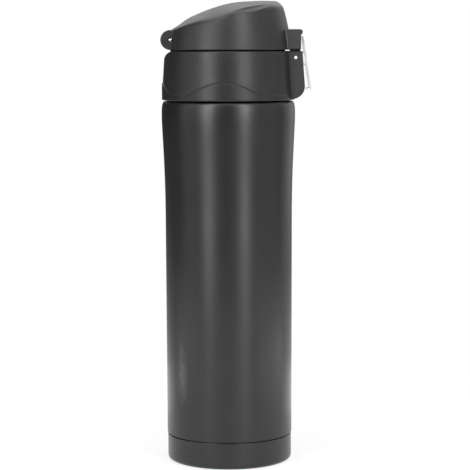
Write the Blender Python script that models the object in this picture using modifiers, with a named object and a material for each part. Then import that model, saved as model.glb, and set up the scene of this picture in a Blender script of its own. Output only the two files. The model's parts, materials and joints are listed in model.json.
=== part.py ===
"""A vacuum flask with a spring-open flip lid, at real size in metres.

+Z is up and the flask stands on z = 0 about the Z axis. The latch faces +X and the hinge -X.
"""

import functools
import math

import bmesh
import bpy
import numpy as np
from mathutils import Matrix, Vector
from mathutils.geometry import interpolate_bezier

# Clearances
FIT_GAP = 0.0003
SEAM_GAP = 0.0004
COLLAR_GAP = 0.0006
LID_GAP = 0.00035
SIDE_GAP = 0.0005
CUT_OVER = 0.001

# Steel bottle
SHOULDER_RADIUS = 0.0333
SHOULDER_TOP_Z = 0.1806
SHOULDER_DROP = 0.0066
SHOULDER_EDGE_INSET = 0.0017
SHOULDER_TOP_BEND = 0.0003
SHOULDER_SIDE_BEND = 0.0042
FLARE_LENGTH = 0.054
FLARE_TOP_BEND = 0.008
FLARE_LOW_BEND = 0.030
WAIST_INSET = 0.00165
FOOT_INSET = 0.0019
FOOT_EDGE = 0.0004
SEAM_Z = 0.0137
SHELL_WALL = 0.0006
NECK_INSET = 0.0087
NECK_LENGTH = 0.0129
NECK_FILLET = 0.001
LINER_WALL = 0.0005
VACUUM_SPACE = 0.0032
VACUUM_FLOOR = 0.0042
LINER_CORNER = 0.008
LINER_CONE = 0.012
RIM_THICKNESS = 0.0006

# Base
BASE_INSET = 0.00025
BASE_WALL = 0.0006
BASE_CORNER = 0.0022
BASE_RECESS = 0.0008
BASE_RIM_WIDTH = 0.004
BOTTOM_FLANGE = 0.002
DIMPLE_RADIUS = 0.004
DIMPLE_DEPTH = 0.0008
BEAD_RADIUS = 0.0022
GETTER_RADIUS = 0.004
GETTER_HEIGHT = 0.0012
GETTER_OFFSET = 0.014

# Collar and sleeve
COLLAR_WALL = 0.002
COLLAR_TOP_INSET = 0.00165
COLLAR_TAPER = 0.001515
COLLAR_EDGE = 0.0005
BAND_INSET = 0.0002
WAVE_LOW = 0.0018
WAVE_RISE = 0.0066
WAVE_STEP = 0.0005
WAVE_CENTRES = (94.0, 180.0, 266.0)
WAVE_HALF_WIDTH = 40.0
DECK_THICKNESS = 0.002
WELL_MARGIN = 0.0008
WELL_DEPTH = 0.00685
THREAD_ROOM = 0.0016
SLEEVE_WALL = 0.002
SLEEVE_FLANGE = 0.0016
SLEEVE_LIFT = 0.0024
WEB_THICKNESS = 0.0018
MOUTH_SEAL_HEIGHT = 0.0017

# Spout
SPOUT_SEAL_HEIGHT = 0.0014
SPOUT_SEAL_WIDTH = 0.0021
SPOUT_WALL = 0.0018
SPOUT_FLANGE = 0.0017
SPOUT_TUBE_LENGTH = 0.005
BOWL_DEPTH = 0.010
BOWL_TAPER = 0.0033
BOWL_STEP = 0.003
THROAT_INSET = 0.0062

# Lid
LID_RADIUS_OVER = 0.00005
LID_WALL = 0.0018
LID_DRAFT = 0.11
LID_BULGE_RADIUS = 0.119
LID_ROOM = 0.0152
LID_RIM = ((0.0, 0.408), (0.16, 0.512), (0.26, 0.566), (0.38, 0.607), (0.455, 0.653),
           (0.515, 0.712), (0.56, 0.740), (0.63, 0.752), (0.70, 0.766), (0.775, 0.795),
           (0.847, 0.845), (0.92, 0.890), (1.0, 0.912))
LID_RIDGE = ((0.0, 0.417), (0.075, 0.525), (0.15, 0.645), (0.25, 0.752), (0.38, 0.863),
             (0.51, 0.945), (0.60, 0.977), (0.71, 0.993), (0.80, 1.0), (0.89, 0.997),
             (0.945, 0.986), (1.0, 0.912))
FOLD_FROM = 0.52
FOLD_TO = 0.92
FOLD_DEPTH = 0.0007
FOLD_PLACE = 0.91
LINER_PLATE = 0.0014
LIP_CLEARANCE = 0.0004
LINER_EDGE_GAP = 0.0009
PLUG_WALL = 0.0015
GASKET_HEIGHT = 0.003
GASKET_SEAT_WIDTH = 0.003
POST_RADIUS = 0.0025
POST_INSET = 0.0094
POST_ANGLES = (48.0, 132.0, 228.0, 312.0)

# Hinge
HINGE_INSET = 0.0034
HINGE_RISE = 0.0052
KNUCKLE_RADIUS = 0.0049
BARREL_RADIUS = 0.0046
REAR_TRIM = 0.0005
SIDE_TRIM = 0.0023
LUG_INSET = 0.0042
LUG_WIDTH = 0.006
BLOCK_MARGIN = 0.0005
BARREL_WIDTH = 0.0032
HINGE_PIN_RADIUS = 0.0011
HINGE_WALL = 0.0018
RELIEF_RADIUS = 0.0052
BARREL_FOOT_REAR = 0.001
BARREL_FOOT_FRONT = 0.003
HINGE_WIRE = 0.0006
HINGE_COIL_RADIUS = 0.0023
HINGE_COIL_GAP = 0.0006
HINGE_COIL_TURNS = 4.75

# Latch
LATCH_HALF_WIDTH = 0.011
CHEEK = 0.002
HOUSING_TOP_REACH = 0.0050
HOUSING_LOW_REACH = 0.0062
HOUSING_DROP = 0.0001
HOUSING_CORNER = 0.0063
HOUSING_ROOT = 0.004
CHANNEL_FLOOR = 0.0038
CHANNEL_REACH = 0.00005
LATCH_PIN_REACH = 0.00165
LATCH_PIN_DROP = 0.00325
LATCH_PIN_RADIUS = 0.00078
NOSE_REACH = 0.0042
NOSE_LIFT = 0.0004
NOSE_HEIGHT = 0.0099
NOSE_ROOT = 0.0045
NOSE_SIDE_REACH = 0.0012
LIP_REACH = 0.0009
LIP_HEIGHT = 0.003
LIP_CORNER = 0.0014
LEVER_THICKNESS = 0.001
LEVER_SLANT = 8.5
LEVER_LENGTH = 0.0267
LEVER_FACE_GAP = 0.00035
FOOT_LENGTH = 0.0024
HOOK_DEPTH = 0.0008
HOOK_HEIGHT = 0.0014
EAR_THICKNESS = 0.0012
EAR_RADIUS = 0.0016
EAR_RISE = 0.0028
EAR_DROP = 0.0042
SPRING_RISE = 0.0049
SPRING_WIRE = 0.0005
SPRING_COIL_RADIUS = 0.0022
SPRING_TURNS = 4
SPRING_STUD_LENGTH = 0.0015

# Facets
ROUND_STEPS = 40
SMALL_STEPS = 20
COIL_POINTS = 9
WELD_DISTANCE = 0.000001
AXIS_SIZE = 0.01

# Heights and places that follow from the sizes above
WIDEST_Z = SHOULDER_TOP_Z - SHOULDER_DROP
WAIST_Z = WIDEST_Z - FLARE_LENGTH
WAIST_RADIUS = SHOULDER_RADIUS - WAIST_INSET
FOOT_RADIUS = SHOULDER_RADIUS - FOOT_INSET
NECK_RADIUS = SHOULDER_RADIUS - NECK_INSET
NECK_TOP_Z = SHOULDER_TOP_Z + NECK_LENGTH
RIM_TOP_Z = NECK_TOP_Z + FIT_GAP + RIM_THICKNESS
MOUTH_RADIUS = NECK_RADIUS - SHELL_WALL - FIT_GAP - LINER_WALL
BASE_RADIUS = FOOT_RADIUS - BASE_INSET
SPIGOT_RADIUS = BASE_RADIUS - BASE_WALL - FIT_GAP
BASE_TOP_Z = SEAM_Z - SEAM_GAP
BOTTOM_DISC_Z = BASE_RECESS + BASE_WALL + FIT_GAP + BOTTOM_FLANGE
LINER_RADIUS = WAIST_RADIUS - VACUUM_SPACE
LINER_FLOOR_Z = BOTTOM_DISC_Z + SHELL_WALL + VACUUM_FLOOR
BAND_RADIUS = SHOULDER_RADIUS - BAND_INSET
SLEEVE_BORE = NECK_RADIUS + THREAD_ROOM
MOUTH_SEAL_Z = RIM_TOP_Z + FIT_GAP
WEB_LOW_Z = MOUTH_SEAL_Z + MOUTH_SEAL_HEIGHT + FIT_GAP
WEB_TOP_Z = WEB_LOW_Z + WEB_THICKNESS
WELL_RADIUS = NECK_RADIUS + WELL_MARGIN
COLLAR_TOP_RADIUS = SHOULDER_RADIUS - COLLAR_TOP_INSET
COLLAR_LOW_Z = SHOULDER_TOP_Z + COLLAR_GAP
COLLAR_TOP_Z = WEB_TOP_Z + WELL_DEPTH
COLLAR_DRAFT = COLLAR_TAPER / (COLLAR_TOP_Z - COLLAR_LOW_Z)
SLEEVE_TOP_Z = COLLAR_TOP_Z - DECK_THICKNESS - FIT_GAP
SPOUT_SEAL_Z = WEB_TOP_Z + FIT_GAP
FLANGE_Z = SPOUT_SEAL_Z + SPOUT_SEAL_HEIGHT + FIT_GAP
FLANGE_RADIUS = WELL_RADIUS - FIT_GAP
TUBE_RADIUS = FLANGE_RADIUS - SPOUT_SEAL_WIDTH - FIT_GAP
WEB_RADIUS = TUBE_RADIUS + FIT_GAP
BOWL_FLOOR_Z = FLANGE_Z + SPOUT_FLANGE + 0.5 * SPOUT_WALL
BOWL_FOOT_RADIUS = FLANGE_RADIUS - BOWL_STEP
BOWL_TOP_RADIUS = BOWL_FOOT_RADIUS - BOWL_TAPER
LIP_Z = BOWL_FLOOR_Z + BOWL_DEPTH
PLUG_RADIUS = BOWL_TOP_RADIUS - SPOUT_WALL - FIT_GAP
THROAT_RADIUS = PLUG_RADIUS - THROAT_INSET
LID_Z = COLLAR_TOP_Z + LID_GAP
LID_RADIUS = COLLAR_TOP_RADIUS + LID_RADIUS_OVER
HINGE_X = HINGE_INSET - LID_RADIUS
HINGE_Z = LID_Z + HINGE_RISE
SIDE_TRIM_X = HINGE_X + SIDE_TRIM
LUG_OUTER_Y = math.sqrt(LID_RADIUS ** 2 - SIDE_TRIM_X ** 2) - LUG_INSET
LUG_INNER_Y = LUG_OUTER_Y - LUG_WIDTH
NOTCH_RADIUS = KNUCKLE_RADIUS + FIT_GAP
NOTCH_HALF_WIDTH = LUG_INNER_Y
BARREL_OUTER_Y = LUG_INNER_Y - FIT_GAP
BARREL_INNER_Y = BARREL_OUTER_Y - BARREL_WIDTH
HINGE_COIL_WIDTH = 2.0 * (BARREL_INNER_Y - HINGE_COIL_GAP) - HINGE_WIRE
BLOCK_X = HINGE_X + NOTCH_RADIUS + HINGE_WALL
BLOCK_HALF_WIDTH = LUG_OUTER_Y + BLOCK_MARGIN
CHANNEL_HALF_WIDTH = LATCH_HALF_WIDTH - CHEEK
CHANNEL_X = COLLAR_TOP_RADIUS + CHANNEL_REACH
LATCH_PIN_X = COLLAR_TOP_RADIUS + LATCH_PIN_REACH
LATCH_PIN_Z = COLLAR_TOP_Z - LATCH_PIN_DROP
NOSE_X = LID_RADIUS + NOSE_REACH
NOSE_LOW_Z = LID_Z + NOSE_LIFT
NOSE_TOP_Z = NOSE_LOW_Z + NOSE_HEIGHT
LEVER_TOP_Z = NOSE_TOP_Z - LIP_HEIGHT - FIT_GAP
LEVER_HALF_WIDTH = CHANNEL_HALF_WIDTH - SIDE_GAP
LEVER_LEAN = math.tan(math.radians(LEVER_SLANT))
HOOK_LOW_Z = LEVER_TOP_Z - HOOK_HEIGHT
GASKET_Z = BOWL_FLOOR_Z + FIT_GAP
PLATE_Z = LIP_Z + LIP_CLEARANCE
PLATE_TOP_Z = PLATE_Z + LINER_PLATE
LID_HEIGHT = PLATE_TOP_Z - LID_Z + LID_ROOM

COLOURS = {
    "paint": ((0.020, 0.020, 0.021), 0.42, 0.3),
    "moulding": ((0.030, 0.030, 0.031), 0.55, 0.0),
    "steel": ((0.62, 0.61, 0.59), 0.28, 1.0),
    "chrome": ((0.86, 0.86, 0.86), 0.12, 1.0),
    "silicone": ((0.55, 0.56, 0.57), 0.60, 0.0),
    "glass": ((0.10, 0.11, 0.12), 0.15, 0.0),
    "getter_alloy": ((0.24, 0.24, 0.25), 0.65, 0.8),
}


def clear_scene():
    for obj in list(bpy.data.objects):
        bpy.data.objects.remove(obj)


def new_collection(name):
    collection = bpy.data.collections.new(name)
    bpy.context.scene.collection.children.link(collection)
    return collection


def new_material(name):
    colour, roughness, metallic = COLOURS[name]
    material = bpy.data.materials.new(name)
    material.use_nodes = True
    shader = material.node_tree.nodes["Principled BSDF"]
    shader.inputs["Base Color"].default_value = (*colour, 1.0)
    shader.inputs["Roughness"].default_value = roughness
    shader.inputs["Metallic"].default_value = metallic
    return material


def new_empty(name, location):
    """An axis marker that the pieces moving about it are parented to."""
    empty = bpy.data.objects.new(name, None)
    empty.location = location
    empty.empty_display_size = AXIS_SIZE
    PARTS.objects.link(empty)
    return empty


def place(name, data, collection):
    obj = bpy.data.objects.new(name, data)
    collection.objects.link(obj)
    return obj


def as_helper(obj):
    """Keeps a cutter or a joined-on form out of the finished object."""
    obj.hide_render = True
    obj.display_type = "WIRE"
    return obj


def as_part(obj, material, axis):
    """Gives a piece its finish and hangs it on the axis that it moves about."""
    obj.data.materials.append(MATERIALS[material])
    obj.parent = axis
    obj.matrix_parent_inverse = Matrix.Translation(axis.location).inverted()
    return obj


def boolean(obj, other, operation):
    modifier = obj.modifiers.new(other.name, "BOOLEAN")
    modifier.operation = operation
    modifier.solver = "MANIFOLD"
    modifier.object = as_helper(other)


def cut(obj, *cutters):
    for cutter in cutters:
        boolean(obj, cutter, "DIFFERENCE")


def join(obj, *others):
    for other in others:
        boolean(obj, other, "UNION")


def arc(centre, radius, start, end, count):
    """Points on a circle from the start angle to the end angle, in degrees."""
    angles = np.radians(np.linspace(start, end, count))
    return [(centre[0] + radius * math.cos(a), centre[1] + radius * math.sin(a)) for a in angles]


def bezier(start, start_handle, end_handle, end, count):
    """Points on a cubic curve, both ends included."""
    knots = [Vector((*point, 0.0)) for point in (start, start_handle, end_handle, end)]
    return [(point.x, point.y) for point in interpolate_bezier(*knots, count)]


def smooth_line(points, place_along):
    """The height at a place on a smooth line through (place, height) points."""
    xs, zs = np.array(points).T
    slopes = np.gradient(zs, xs)
    x = min(max(place_along, xs[0]), xs[-1])
    i = int(np.clip(np.searchsorted(xs, x) - 1, 0, len(xs) - 2))
    step = xs[i + 1] - xs[i]
    t = (x - xs[i]) / step
    rise = (3.0 - 2.0 * t) * t * t
    bend_in = t * (1.0 - t) ** 2 * step * slopes[i]
    bend_out = -t * t * (1.0 - t) * step * slopes[i + 1]
    return float(zs[i] + (zs[i + 1] - zs[i]) * rise + bend_in + bend_out)


def turned(name, profile, collection=None, steps=ROUND_STEPS):
    """A profile of (radius, height) points swept about Z, listed down its outer side.

    A profile that starts on the axis ends there too. Any other profile is a closed loop.
    """
    mesh = bpy.data.meshes.new(name)
    edges = [(i, i + 1) for i in range(len(profile) - 1)]
    if profile[0][0] > 0.0:
        edges.append((len(profile) - 1, 0))
    mesh.from_pydata([(radius, 0.0, height) for radius, height in profile], edges, [])
    obj = place(name, mesh, collection or PARTS)
    screw = obj.modifiers.new("Turn", "SCREW")
    screw.steps = steps
    screw.render_steps = steps
    screw.use_merge_vertices = True
    screw.merge_threshold = WELD_DISTANCE
    return obj


def finished_mesh(name, bm, collection):
    bmesh.ops.recalc_face_normals(bm, faces=bm.faces)
    mesh = bpy.data.meshes.new(name)
    bm.to_mesh(mesh)
    bm.free()
    mesh.shade_smooth()
    mesh.set_sharp_from_angle(angle=math.radians(35.0))
    return place(name, mesh, collection)


def mesh_of_curve(curve_object, name, collection):
    """The curve's filled and extruded shape as a closed mesh, so that it can be cut and joined."""
    bpy.context.view_layer.update()
    graph = bpy.context.evaluated_depsgraph_get()
    mesh = bpy.data.meshes.new_from_object(curve_object.evaluated_get(graph))
    mesh.transform(curve_object.matrix_world)
    curve = curve_object.data
    bpy.data.objects.remove(curve_object)
    bpy.data.curves.remove(curve)
    bm = bmesh.new()
    bm.from_mesh(mesh)
    bpy.data.meshes.remove(mesh)
    bmesh.ops.remove_doubles(bm, verts=bm.verts, dist=WELD_DISTANCE)
    return finished_mesh(name, bm, collection)


def prism(name, outline, y_from, y_to, collection=None):
    """An outline of (x, z) points carried along Y."""
    curve = bpy.data.curves.new(name + "_outline", "CURVE")
    curve.dimensions = "2D"
    curve.fill_mode = "BOTH"
    curve.extrude = 0.5 * (y_to - y_from)
    spline = curve.splines.new("POLY")
    spline.points.add(len(outline) - 1)
    for point, (x, z) in zip(spline.points, outline):
        point.co = (x, z, 0.0, 1.0)
    spline.use_cyclic_u = True
    flat = place(name + "_outline", curve, HELPERS)
    flat.location.y = 0.5 * (y_from + y_to)
    flat.rotation_euler.x = math.radians(90.0)
    return mesh_of_curve(flat, name, collection or HELPERS)


def block(name, x_range, y_range, z_range):
    bm = bmesh.new()
    middle = [0.5 * sum(limits) for limits in (x_range, y_range, z_range)]
    size = [limits[1] - limits[0] for limits in (x_range, y_range, z_range)]
    bmesh.ops.create_cube(bm, matrix=Matrix.LocRotScale(middle, None, size))
    return finished_mesh(name, bm, HELPERS)


def rod(name, start, end, radius, collection=None):
    """A round bar between two points."""
    along = Vector(end) - Vector(start)
    turn = along.to_track_quat("Z", "Y")
    matrix = Matrix.LocRotScale((Vector(start) + Vector(end)) / 2.0, turn, None)
    bm = bmesh.new()
    bmesh.ops.create_cone(bm, cap_ends=True, segments=SMALL_STEPS, radius1=radius,
                          radius2=radius, depth=along.length, matrix=matrix)
    return finished_mesh(name, bm, collection or HELPERS)


def wire(name, points, thickness):
    """One unbroken round wire through the points."""
    curve = bpy.data.curves.new(name, "CURVE")
    curve.dimensions = "3D"
    curve.bevel_depth = 0.5 * thickness
    curve.bevel_resolution = 1
    curve.use_fill_caps = True
    spline = curve.splines.new("POLY")
    spline.points.add(len(points) - 1)
    for point, position in zip(spline.points, points):
        point.co = (*position, 1.0)
    return place(name, curve, PARTS)


def least_self_gap(points, thickness):
    """The smallest space between two stretches of a wire that lie a turn or more apart."""
    route = np.array(points)
    apart = COIL_POINTS // 2
    least = min(np.linalg.norm(route[i + apart:] - point, axis=1).min()
                for i, point in enumerate(route[:-apart]))
    return least - thickness


def body_side(inset):
    """The outer wall from the shoulder down to the base seam, moved in by the inset."""
    top = SHOULDER_TOP_Z - inset
    widest = SHOULDER_RADIUS - inset
    waist = WAIST_RADIUS - inset
    round_over = bezier((SHOULDER_RADIUS - SHOULDER_EDGE_INSET, top), (widest - SHOULDER_TOP_BEND, top),
                        (widest, WIDEST_Z + SHOULDER_SIDE_BEND), (widest, WIDEST_Z), 6)
    flare = bezier((widest, WIDEST_Z), (widest, WIDEST_Z - FLARE_TOP_BEND),
                   (waist, WAIST_Z + FLARE_LOW_BEND), (waist, WAIST_Z), 8)
    return round_over + flare[1:]


def make_outer_shell():
    neck = [(NECK_RADIUS, NECK_TOP_Z)]
    neck += arc((NECK_RADIUS + NECK_FILLET, SHOULDER_TOP_Z + NECK_FILLET), NECK_FILLET, 180.0, 270.0, 3)
    foot = arc((FOOT_RADIUS - FOOT_EDGE, SEAM_Z + FOOT_EDGE), FOOT_EDGE, 0.0, -90.0, 3)
    spigot_low = BASE_WALL + BASE_RECESS + FIT_GAP
    spigot = [(SPIGOT_RADIUS, SEAM_Z), (SPIGOT_RADIUS, spigot_low)]
    inner_spigot = SPIGOT_RADIUS - SHELL_WALL
    back = [(inner_spigot, spigot_low), (inner_spigot, SEAM_Z + SHELL_WALL),
            (FOOT_RADIUS - SHELL_WALL, SEAM_Z + SHELL_WALL)]
    back += body_side(SHELL_WALL)[::-1]
    back += [(NECK_RADIUS - SHELL_WALL, SHOULDER_TOP_Z - SHELL_WALL),
             (NECK_RADIUS - SHELL_WALL, NECK_TOP_Z)]
    return turned("outer_shell", neck + body_side(0.0) + foot + spigot + back)


def make_inner_liner():
    """The inner bottle, whose rolled rim lies on the neck."""
    neck_outer = MOUTH_RADIUS + LINER_WALL
    cone_top = SHOULDER_TOP_Z - SHELL_WALL - FIT_GAP
    cone_low = cone_top - LINER_CONE
    corner_z = LINER_FLOOR_Z + LINER_CORNER

    def side(inset):
        bend = 0.4 * LINER_CONE
        cone = bezier((neck_outer - inset, cone_top), (neck_outer - inset, cone_top - bend),
                      (LINER_RADIUS - inset, cone_low + bend), (LINER_RADIUS - inset, cone_low), 6)
        corner = arc((LINER_RADIUS - LINER_CORNER, corner_z), LINER_CORNER - inset, 0.0, -90.0, 5)
        return cone + corner

    rim = [(MOUTH_RADIUS, RIM_TOP_Z), (NECK_RADIUS, RIM_TOP_Z),
           (NECK_RADIUS, RIM_TOP_Z - RIM_THICKNESS), (neck_outer, RIM_TOP_Z - RIM_THICKNESS)]
    outside = side(0.0) + [(0.0, LINER_FLOOR_Z)]
    inside = [(0.0, LINER_FLOOR_Z + LINER_WALL)] + side(LINER_WALL)[::-1]
    return turned("inner_liner", inside + rim + outside)


def make_base_cap():
    flat_radius = BASE_RADIUS - BASE_CORNER
    recess_radius = flat_radius - BASE_RIM_WIDTH
    outside = [(BASE_RADIUS, BASE_TOP_Z)]
    outside += arc((flat_radius, BASE_CORNER), BASE_CORNER, 0.0, -90.0, 4)
    outside += [(recess_radius + BASE_RECESS, 0.0), (recess_radius, BASE_RECESS), (0.0, BASE_RECESS)]
    inside = [(0.0, BASE_RECESS + BASE_WALL), (recess_radius, BASE_RECESS + BASE_WALL),
              (recess_radius + BASE_RECESS, BASE_WALL)]
    inside += arc((flat_radius, BASE_CORNER), BASE_CORNER - BASE_WALL, -90.0, 0.0, 3)
    inside += [(BASE_RADIUS - BASE_WALL, BASE_TOP_Z)]
    return turned("base_cap", inside + outside)


def make_outer_bottom():
    """The disc welded into the shell's lower end, with a dimple round the evacuation hole."""
    low = BOTTOM_DISC_Z
    rim = SPIGOT_RADIUS - SHELL_WALL - FIT_GAP
    dimple = low + DIMPLE_DEPTH
    slope = DIMPLE_RADIUS + DIMPLE_DEPTH
    top = [(0.0, dimple + SHELL_WALL), (DIMPLE_RADIUS, dimple + SHELL_WALL), (slope, low + SHELL_WALL),
           (rim, low + SHELL_WALL), (rim, low - BOTTOM_FLANGE)]
    under = [(rim - SHELL_WALL, low - BOTTOM_FLANGE), (rim - SHELL_WALL, low), (slope, low),
             (DIMPLE_RADIUS, dimple), (0.0, dimple)]
    return turned("outer_bottom", top + under)


def make_seal_bead():
    top = BOTTOM_DISC_Z + DIMPLE_DEPTH - FIT_GAP
    height = 0.5 * DIMPLE_DEPTH
    dome = [(BEAD_RADIUS, top), (0.75 * BEAD_RADIUS, top - 0.75 * height), (0.0, top - height)]
    return turned("vacuum_seal_bead", [(0.0, top)] + dome, steps=SMALL_STEPS)


def make_getter():
    low = BOTTOM_DISC_Z + SHELL_WALL + FIT_GAP
    start = (GETTER_OFFSET, 0.0, low)
    return rod("getter", start, (GETTER_OFFSET, 0.0, low + GETTER_HEIGHT), GETTER_RADIUS, PARTS)


def collar_radius(z):
    """The collar's drafted outer wall above the band."""
    return COLLAR_TOP_RADIUS + COLLAR_DRAFT * (COLLAR_TOP_Z - z)


def wave_height(angle):
    """The band's upper edge: a crest on each side and at the rear, level under the latch."""
    crest = 0.0
    for centre in WAVE_CENTRES:
        away = abs((math.degrees(angle) - centre + 180.0) % 360.0 - 180.0) / WAVE_HALF_WIDTH
        if away < 1.0:
            crest = max(crest, 0.5 + 0.5 * math.cos(math.pi * away))
    return COLLAR_LOW_Z + WAVE_LOW + WAVE_RISE * crest ** 0.8


def collar_profile(angle):
    wave = wave_height(angle)
    deck_z = COLLAR_TOP_Z - DECK_THICKNESS
    top_edge = COLLAR_TOP_RADIUS - COLLAR_EDGE
    profile = [(WELL_RADIUS, COLLAR_TOP_Z)]
    profile += arc((top_edge, COLLAR_TOP_Z - COLLAR_EDGE), COLLAR_EDGE, 90.0, 0.0, 3)
    profile += [(collar_radius(wave + WAVE_STEP), wave + WAVE_STEP),
                (BAND_RADIUS, wave),
                (BAND_RADIUS, COLLAR_LOW_Z + COLLAR_EDGE),
                (BAND_RADIUS - COLLAR_EDGE, COLLAR_LOW_Z),
                (BAND_RADIUS - COLLAR_WALL, COLLAR_LOW_Z),
                (collar_radius(deck_z) - COLLAR_WALL, deck_z),
                (WELL_RADIUS, deck_z)]
    return profile


def swept_ring(name, profile_at, steps):
    """A closed profile carried round Z, whose points may change with the angle."""
    bm = bmesh.new()
    loops = []
    for k in range(steps):
        angle = 2.0 * math.pi * k / steps
        loops.append([bm.verts.new((r * math.cos(angle), r * math.sin(angle), z))
                      for r, z in profile_at(angle)])
    for k, loop in enumerate(loops):
        after = loops[(k + 1) % steps]
        for j in range(len(loop)):
            n = (j + 1) % len(loop)
            bm.faces.new((loop[j], loop[n], after[n], after[j]))
    return finished_mesh(name, bm, PARTS)


def housing_outline():
    """Side view of the latch housing, with its rounded lower corner."""
    back = COLLAR_TOP_RADIUS - HOUSING_ROOT
    top = COLLAR_TOP_Z - HOUSING_DROP
    low = COLLAR_LOW_Z + COLLAR_EDGE
    low_x = COLLAR_TOP_RADIUS + HOUSING_LOW_REACH
    corner = arc((low_x - HOUSING_CORNER, low + HOUSING_CORNER), HOUSING_CORNER, 0.0, -90.0, 6)
    front = [(back, top), (COLLAR_TOP_RADIUS + HOUSING_TOP_REACH, top)]
    return front + corner + [(back, low)]


def barrel(side):
    """A hinge knuckle of the collar with the foot that carries it."""
    y_from, y_to = sorted((side * BARREL_INNER_Y, side * BARREL_OUTER_Y))
    name = "barrel_left" if side > 0 else "barrel_right"
    foot_z = COLLAR_TOP_Z - 0.5 * DECK_THICKNESS
    round_top = arc((HINGE_X, HINGE_Z), BARREL_RADIUS, -30.0, 210.0, 13)
    feet = [(HINGE_X - BARREL_FOOT_REAR, foot_z), (HINGE_X + BARREL_FOOT_FRONT, foot_z)]
    return prism(name, round_top + feet, y_from, y_to)


def relief_cutter():
    """Rounds the collar's rear top edge, where the lid's knuckles turn past it."""
    radius = RELIEF_RADIUS
    outer = -collar_radius(COLLAR_TOP_Z - radius)
    middle = (outer + radius, COLLAR_TOP_Z - radius)
    corner = arc(middle, radius, 90.0, 180.0, 6)
    rear = outer - radius
    above = COLLAR_TOP_Z + CUT_OVER
    outline = corner + [(rear, middle[1]), (rear, above), (middle[0], above)]
    width = COLLAR_TOP_RADIUS
    return prism("rear_relief", outline, -width, width)


def lever_face_x(z):
    """The lever's outer face, which leans away from the housing downwards."""
    return NOSE_X + LEVER_FACE_GAP + LEVER_THICKNESS + LEVER_LEAN * (LEVER_TOP_Z - z)


def spring_line():
    """Height of the lever spring and the two places along X that it bears on."""
    z = LEVER_TOP_Z - LEVER_LENGTH + SPRING_RISE
    return z, CHANNEL_X + FIT_GAP, lever_face_x(z) - LEVER_THICKNESS - FIT_GAP


def make_collar():
    collar = swept_ring("collar", collar_profile, ROUND_STEPS)
    width = LATCH_HALF_WIDTH
    join(collar, prism("latch_housing", housing_outline(), -width, width))
    deck_z = COLLAR_TOP_Z - DECK_THICKNESS
    open_z = COLLAR_LOW_Z - CUT_OVER
    skirt = BAND_RADIUS - COLLAR_WALL
    inside = [(0.0, deck_z), (collar_radius(deck_z) - COLLAR_WALL, deck_z), (skirt, COLLAR_LOW_Z),
              (skirt, open_z), (0.0, open_z)]
    cut(collar, turned("collar_inside", inside, HELPERS))
    floor = COLLAR_LOW_Z + CHANNEL_FLOOR
    channel = CHANNEL_HALF_WIDTH
    far = lever_face_x(floor)
    cut(collar, block("latch_channel", (CHANNEL_X, far), (-channel, channel),
                      (floor, COLLAR_TOP_Z + CUT_OVER)))
    spring_z = spring_line()[0]
    stud_from = (CHANNEL_X - 0.5 * COLLAR_WALL, 0.0, spring_z)
    stud_to = (CHANNEL_X + SPRING_STUD_LENGTH, 0.0, spring_z)
    stud_radius = SPRING_COIL_RADIUS - 0.5 * SPRING_WIRE - FIT_GAP
    join(collar, rod("spring_stud", stud_from, stud_to, stud_radius))
    cut(collar, relief_cutter())
    join(collar, barrel(1), barrel(-1))
    cut(collar, hinge_bore("collar_hinge_bore"), latch_bore("collar_latch_bore"))
    return collar


def hinge_bore(name):
    reach = LUG_OUTER_Y + CUT_OVER
    radius = HINGE_PIN_RADIUS + FIT_GAP
    return rod(name, (HINGE_X, -reach, HINGE_Z), (HINGE_X, reach, HINGE_Z), radius)


def latch_bore(name):
    reach = LATCH_HALF_WIDTH + CUT_OVER
    radius = LATCH_PIN_RADIUS + FIT_GAP
    return rod(name, (LATCH_PIN_X, -reach, LATCH_PIN_Z), (LATCH_PIN_X, reach, LATCH_PIN_Z), radius)


def make_threaded_sleeve():
    outer = SLEEVE_BORE + SLEEVE_WALL
    low = SHOULDER_TOP_Z + SLEEVE_LIFT
    flange_z = SLEEVE_TOP_Z - SLEEVE_FLANGE
    flange = collar_radius(SLEEVE_TOP_Z) - COLLAR_WALL - FIT_GAP
    profile = [(WELL_RADIUS, SLEEVE_TOP_Z), (flange, SLEEVE_TOP_Z), (flange, flange_z),
               (outer, flange_z), (outer, low), (SLEEVE_BORE, low), (SLEEVE_BORE, WEB_LOW_Z),
               (WEB_RADIUS, WEB_LOW_Z), (WEB_RADIUS, WEB_TOP_Z), (WELL_RADIUS, WEB_TOP_Z)]
    return turned("threaded_sleeve", profile)


def seal_ring(name, inner, outer, low, height):
    """A silicone ring with rounded lips."""
    edge = 0.25 * height
    middle = low + 0.5 * height
    profile = [(inner + edge, low + height), (outer - edge, low + height), (outer, middle),
               (outer - edge, low), (inner + edge, low), (inner, middle)]
    return turned(name, profile)


def make_spout():
    """A drinking bowl on a flange, with a tube below and a throat in its floor."""
    flange_top = FLANGE_Z + SPOUT_FLANGE
    lip = 0.5 * SPOUT_WALL
    tube_inner = TUBE_RADIUS - SPOUT_WALL
    lip_round = arc((BOWL_TOP_RADIUS - lip, LIP_Z - lip), lip, 180.0, 0.0, 5)
    outside = [(BOWL_FOOT_RADIUS, flange_top), (FLANGE_RADIUS, flange_top), (FLANGE_RADIUS, FLANGE_Z),
               (TUBE_RADIUS, FLANGE_Z), (TUBE_RADIUS, FLANGE_Z - SPOUT_TUBE_LENGTH)]
    under = [(tube_inner, FLANGE_Z - SPOUT_TUBE_LENGTH), (tube_inner, BOWL_FLOOR_Z - SPOUT_WALL),
             (THROAT_RADIUS, BOWL_FLOOR_Z - SPOUT_WALL)]
    inside = [(THROAT_RADIUS, BOWL_FLOOR_Z), (BOWL_FOOT_RADIUS - SPOUT_WALL, BOWL_FLOOR_Z)]
    return turned("spout", lip_round + outside + under + inside)


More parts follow.
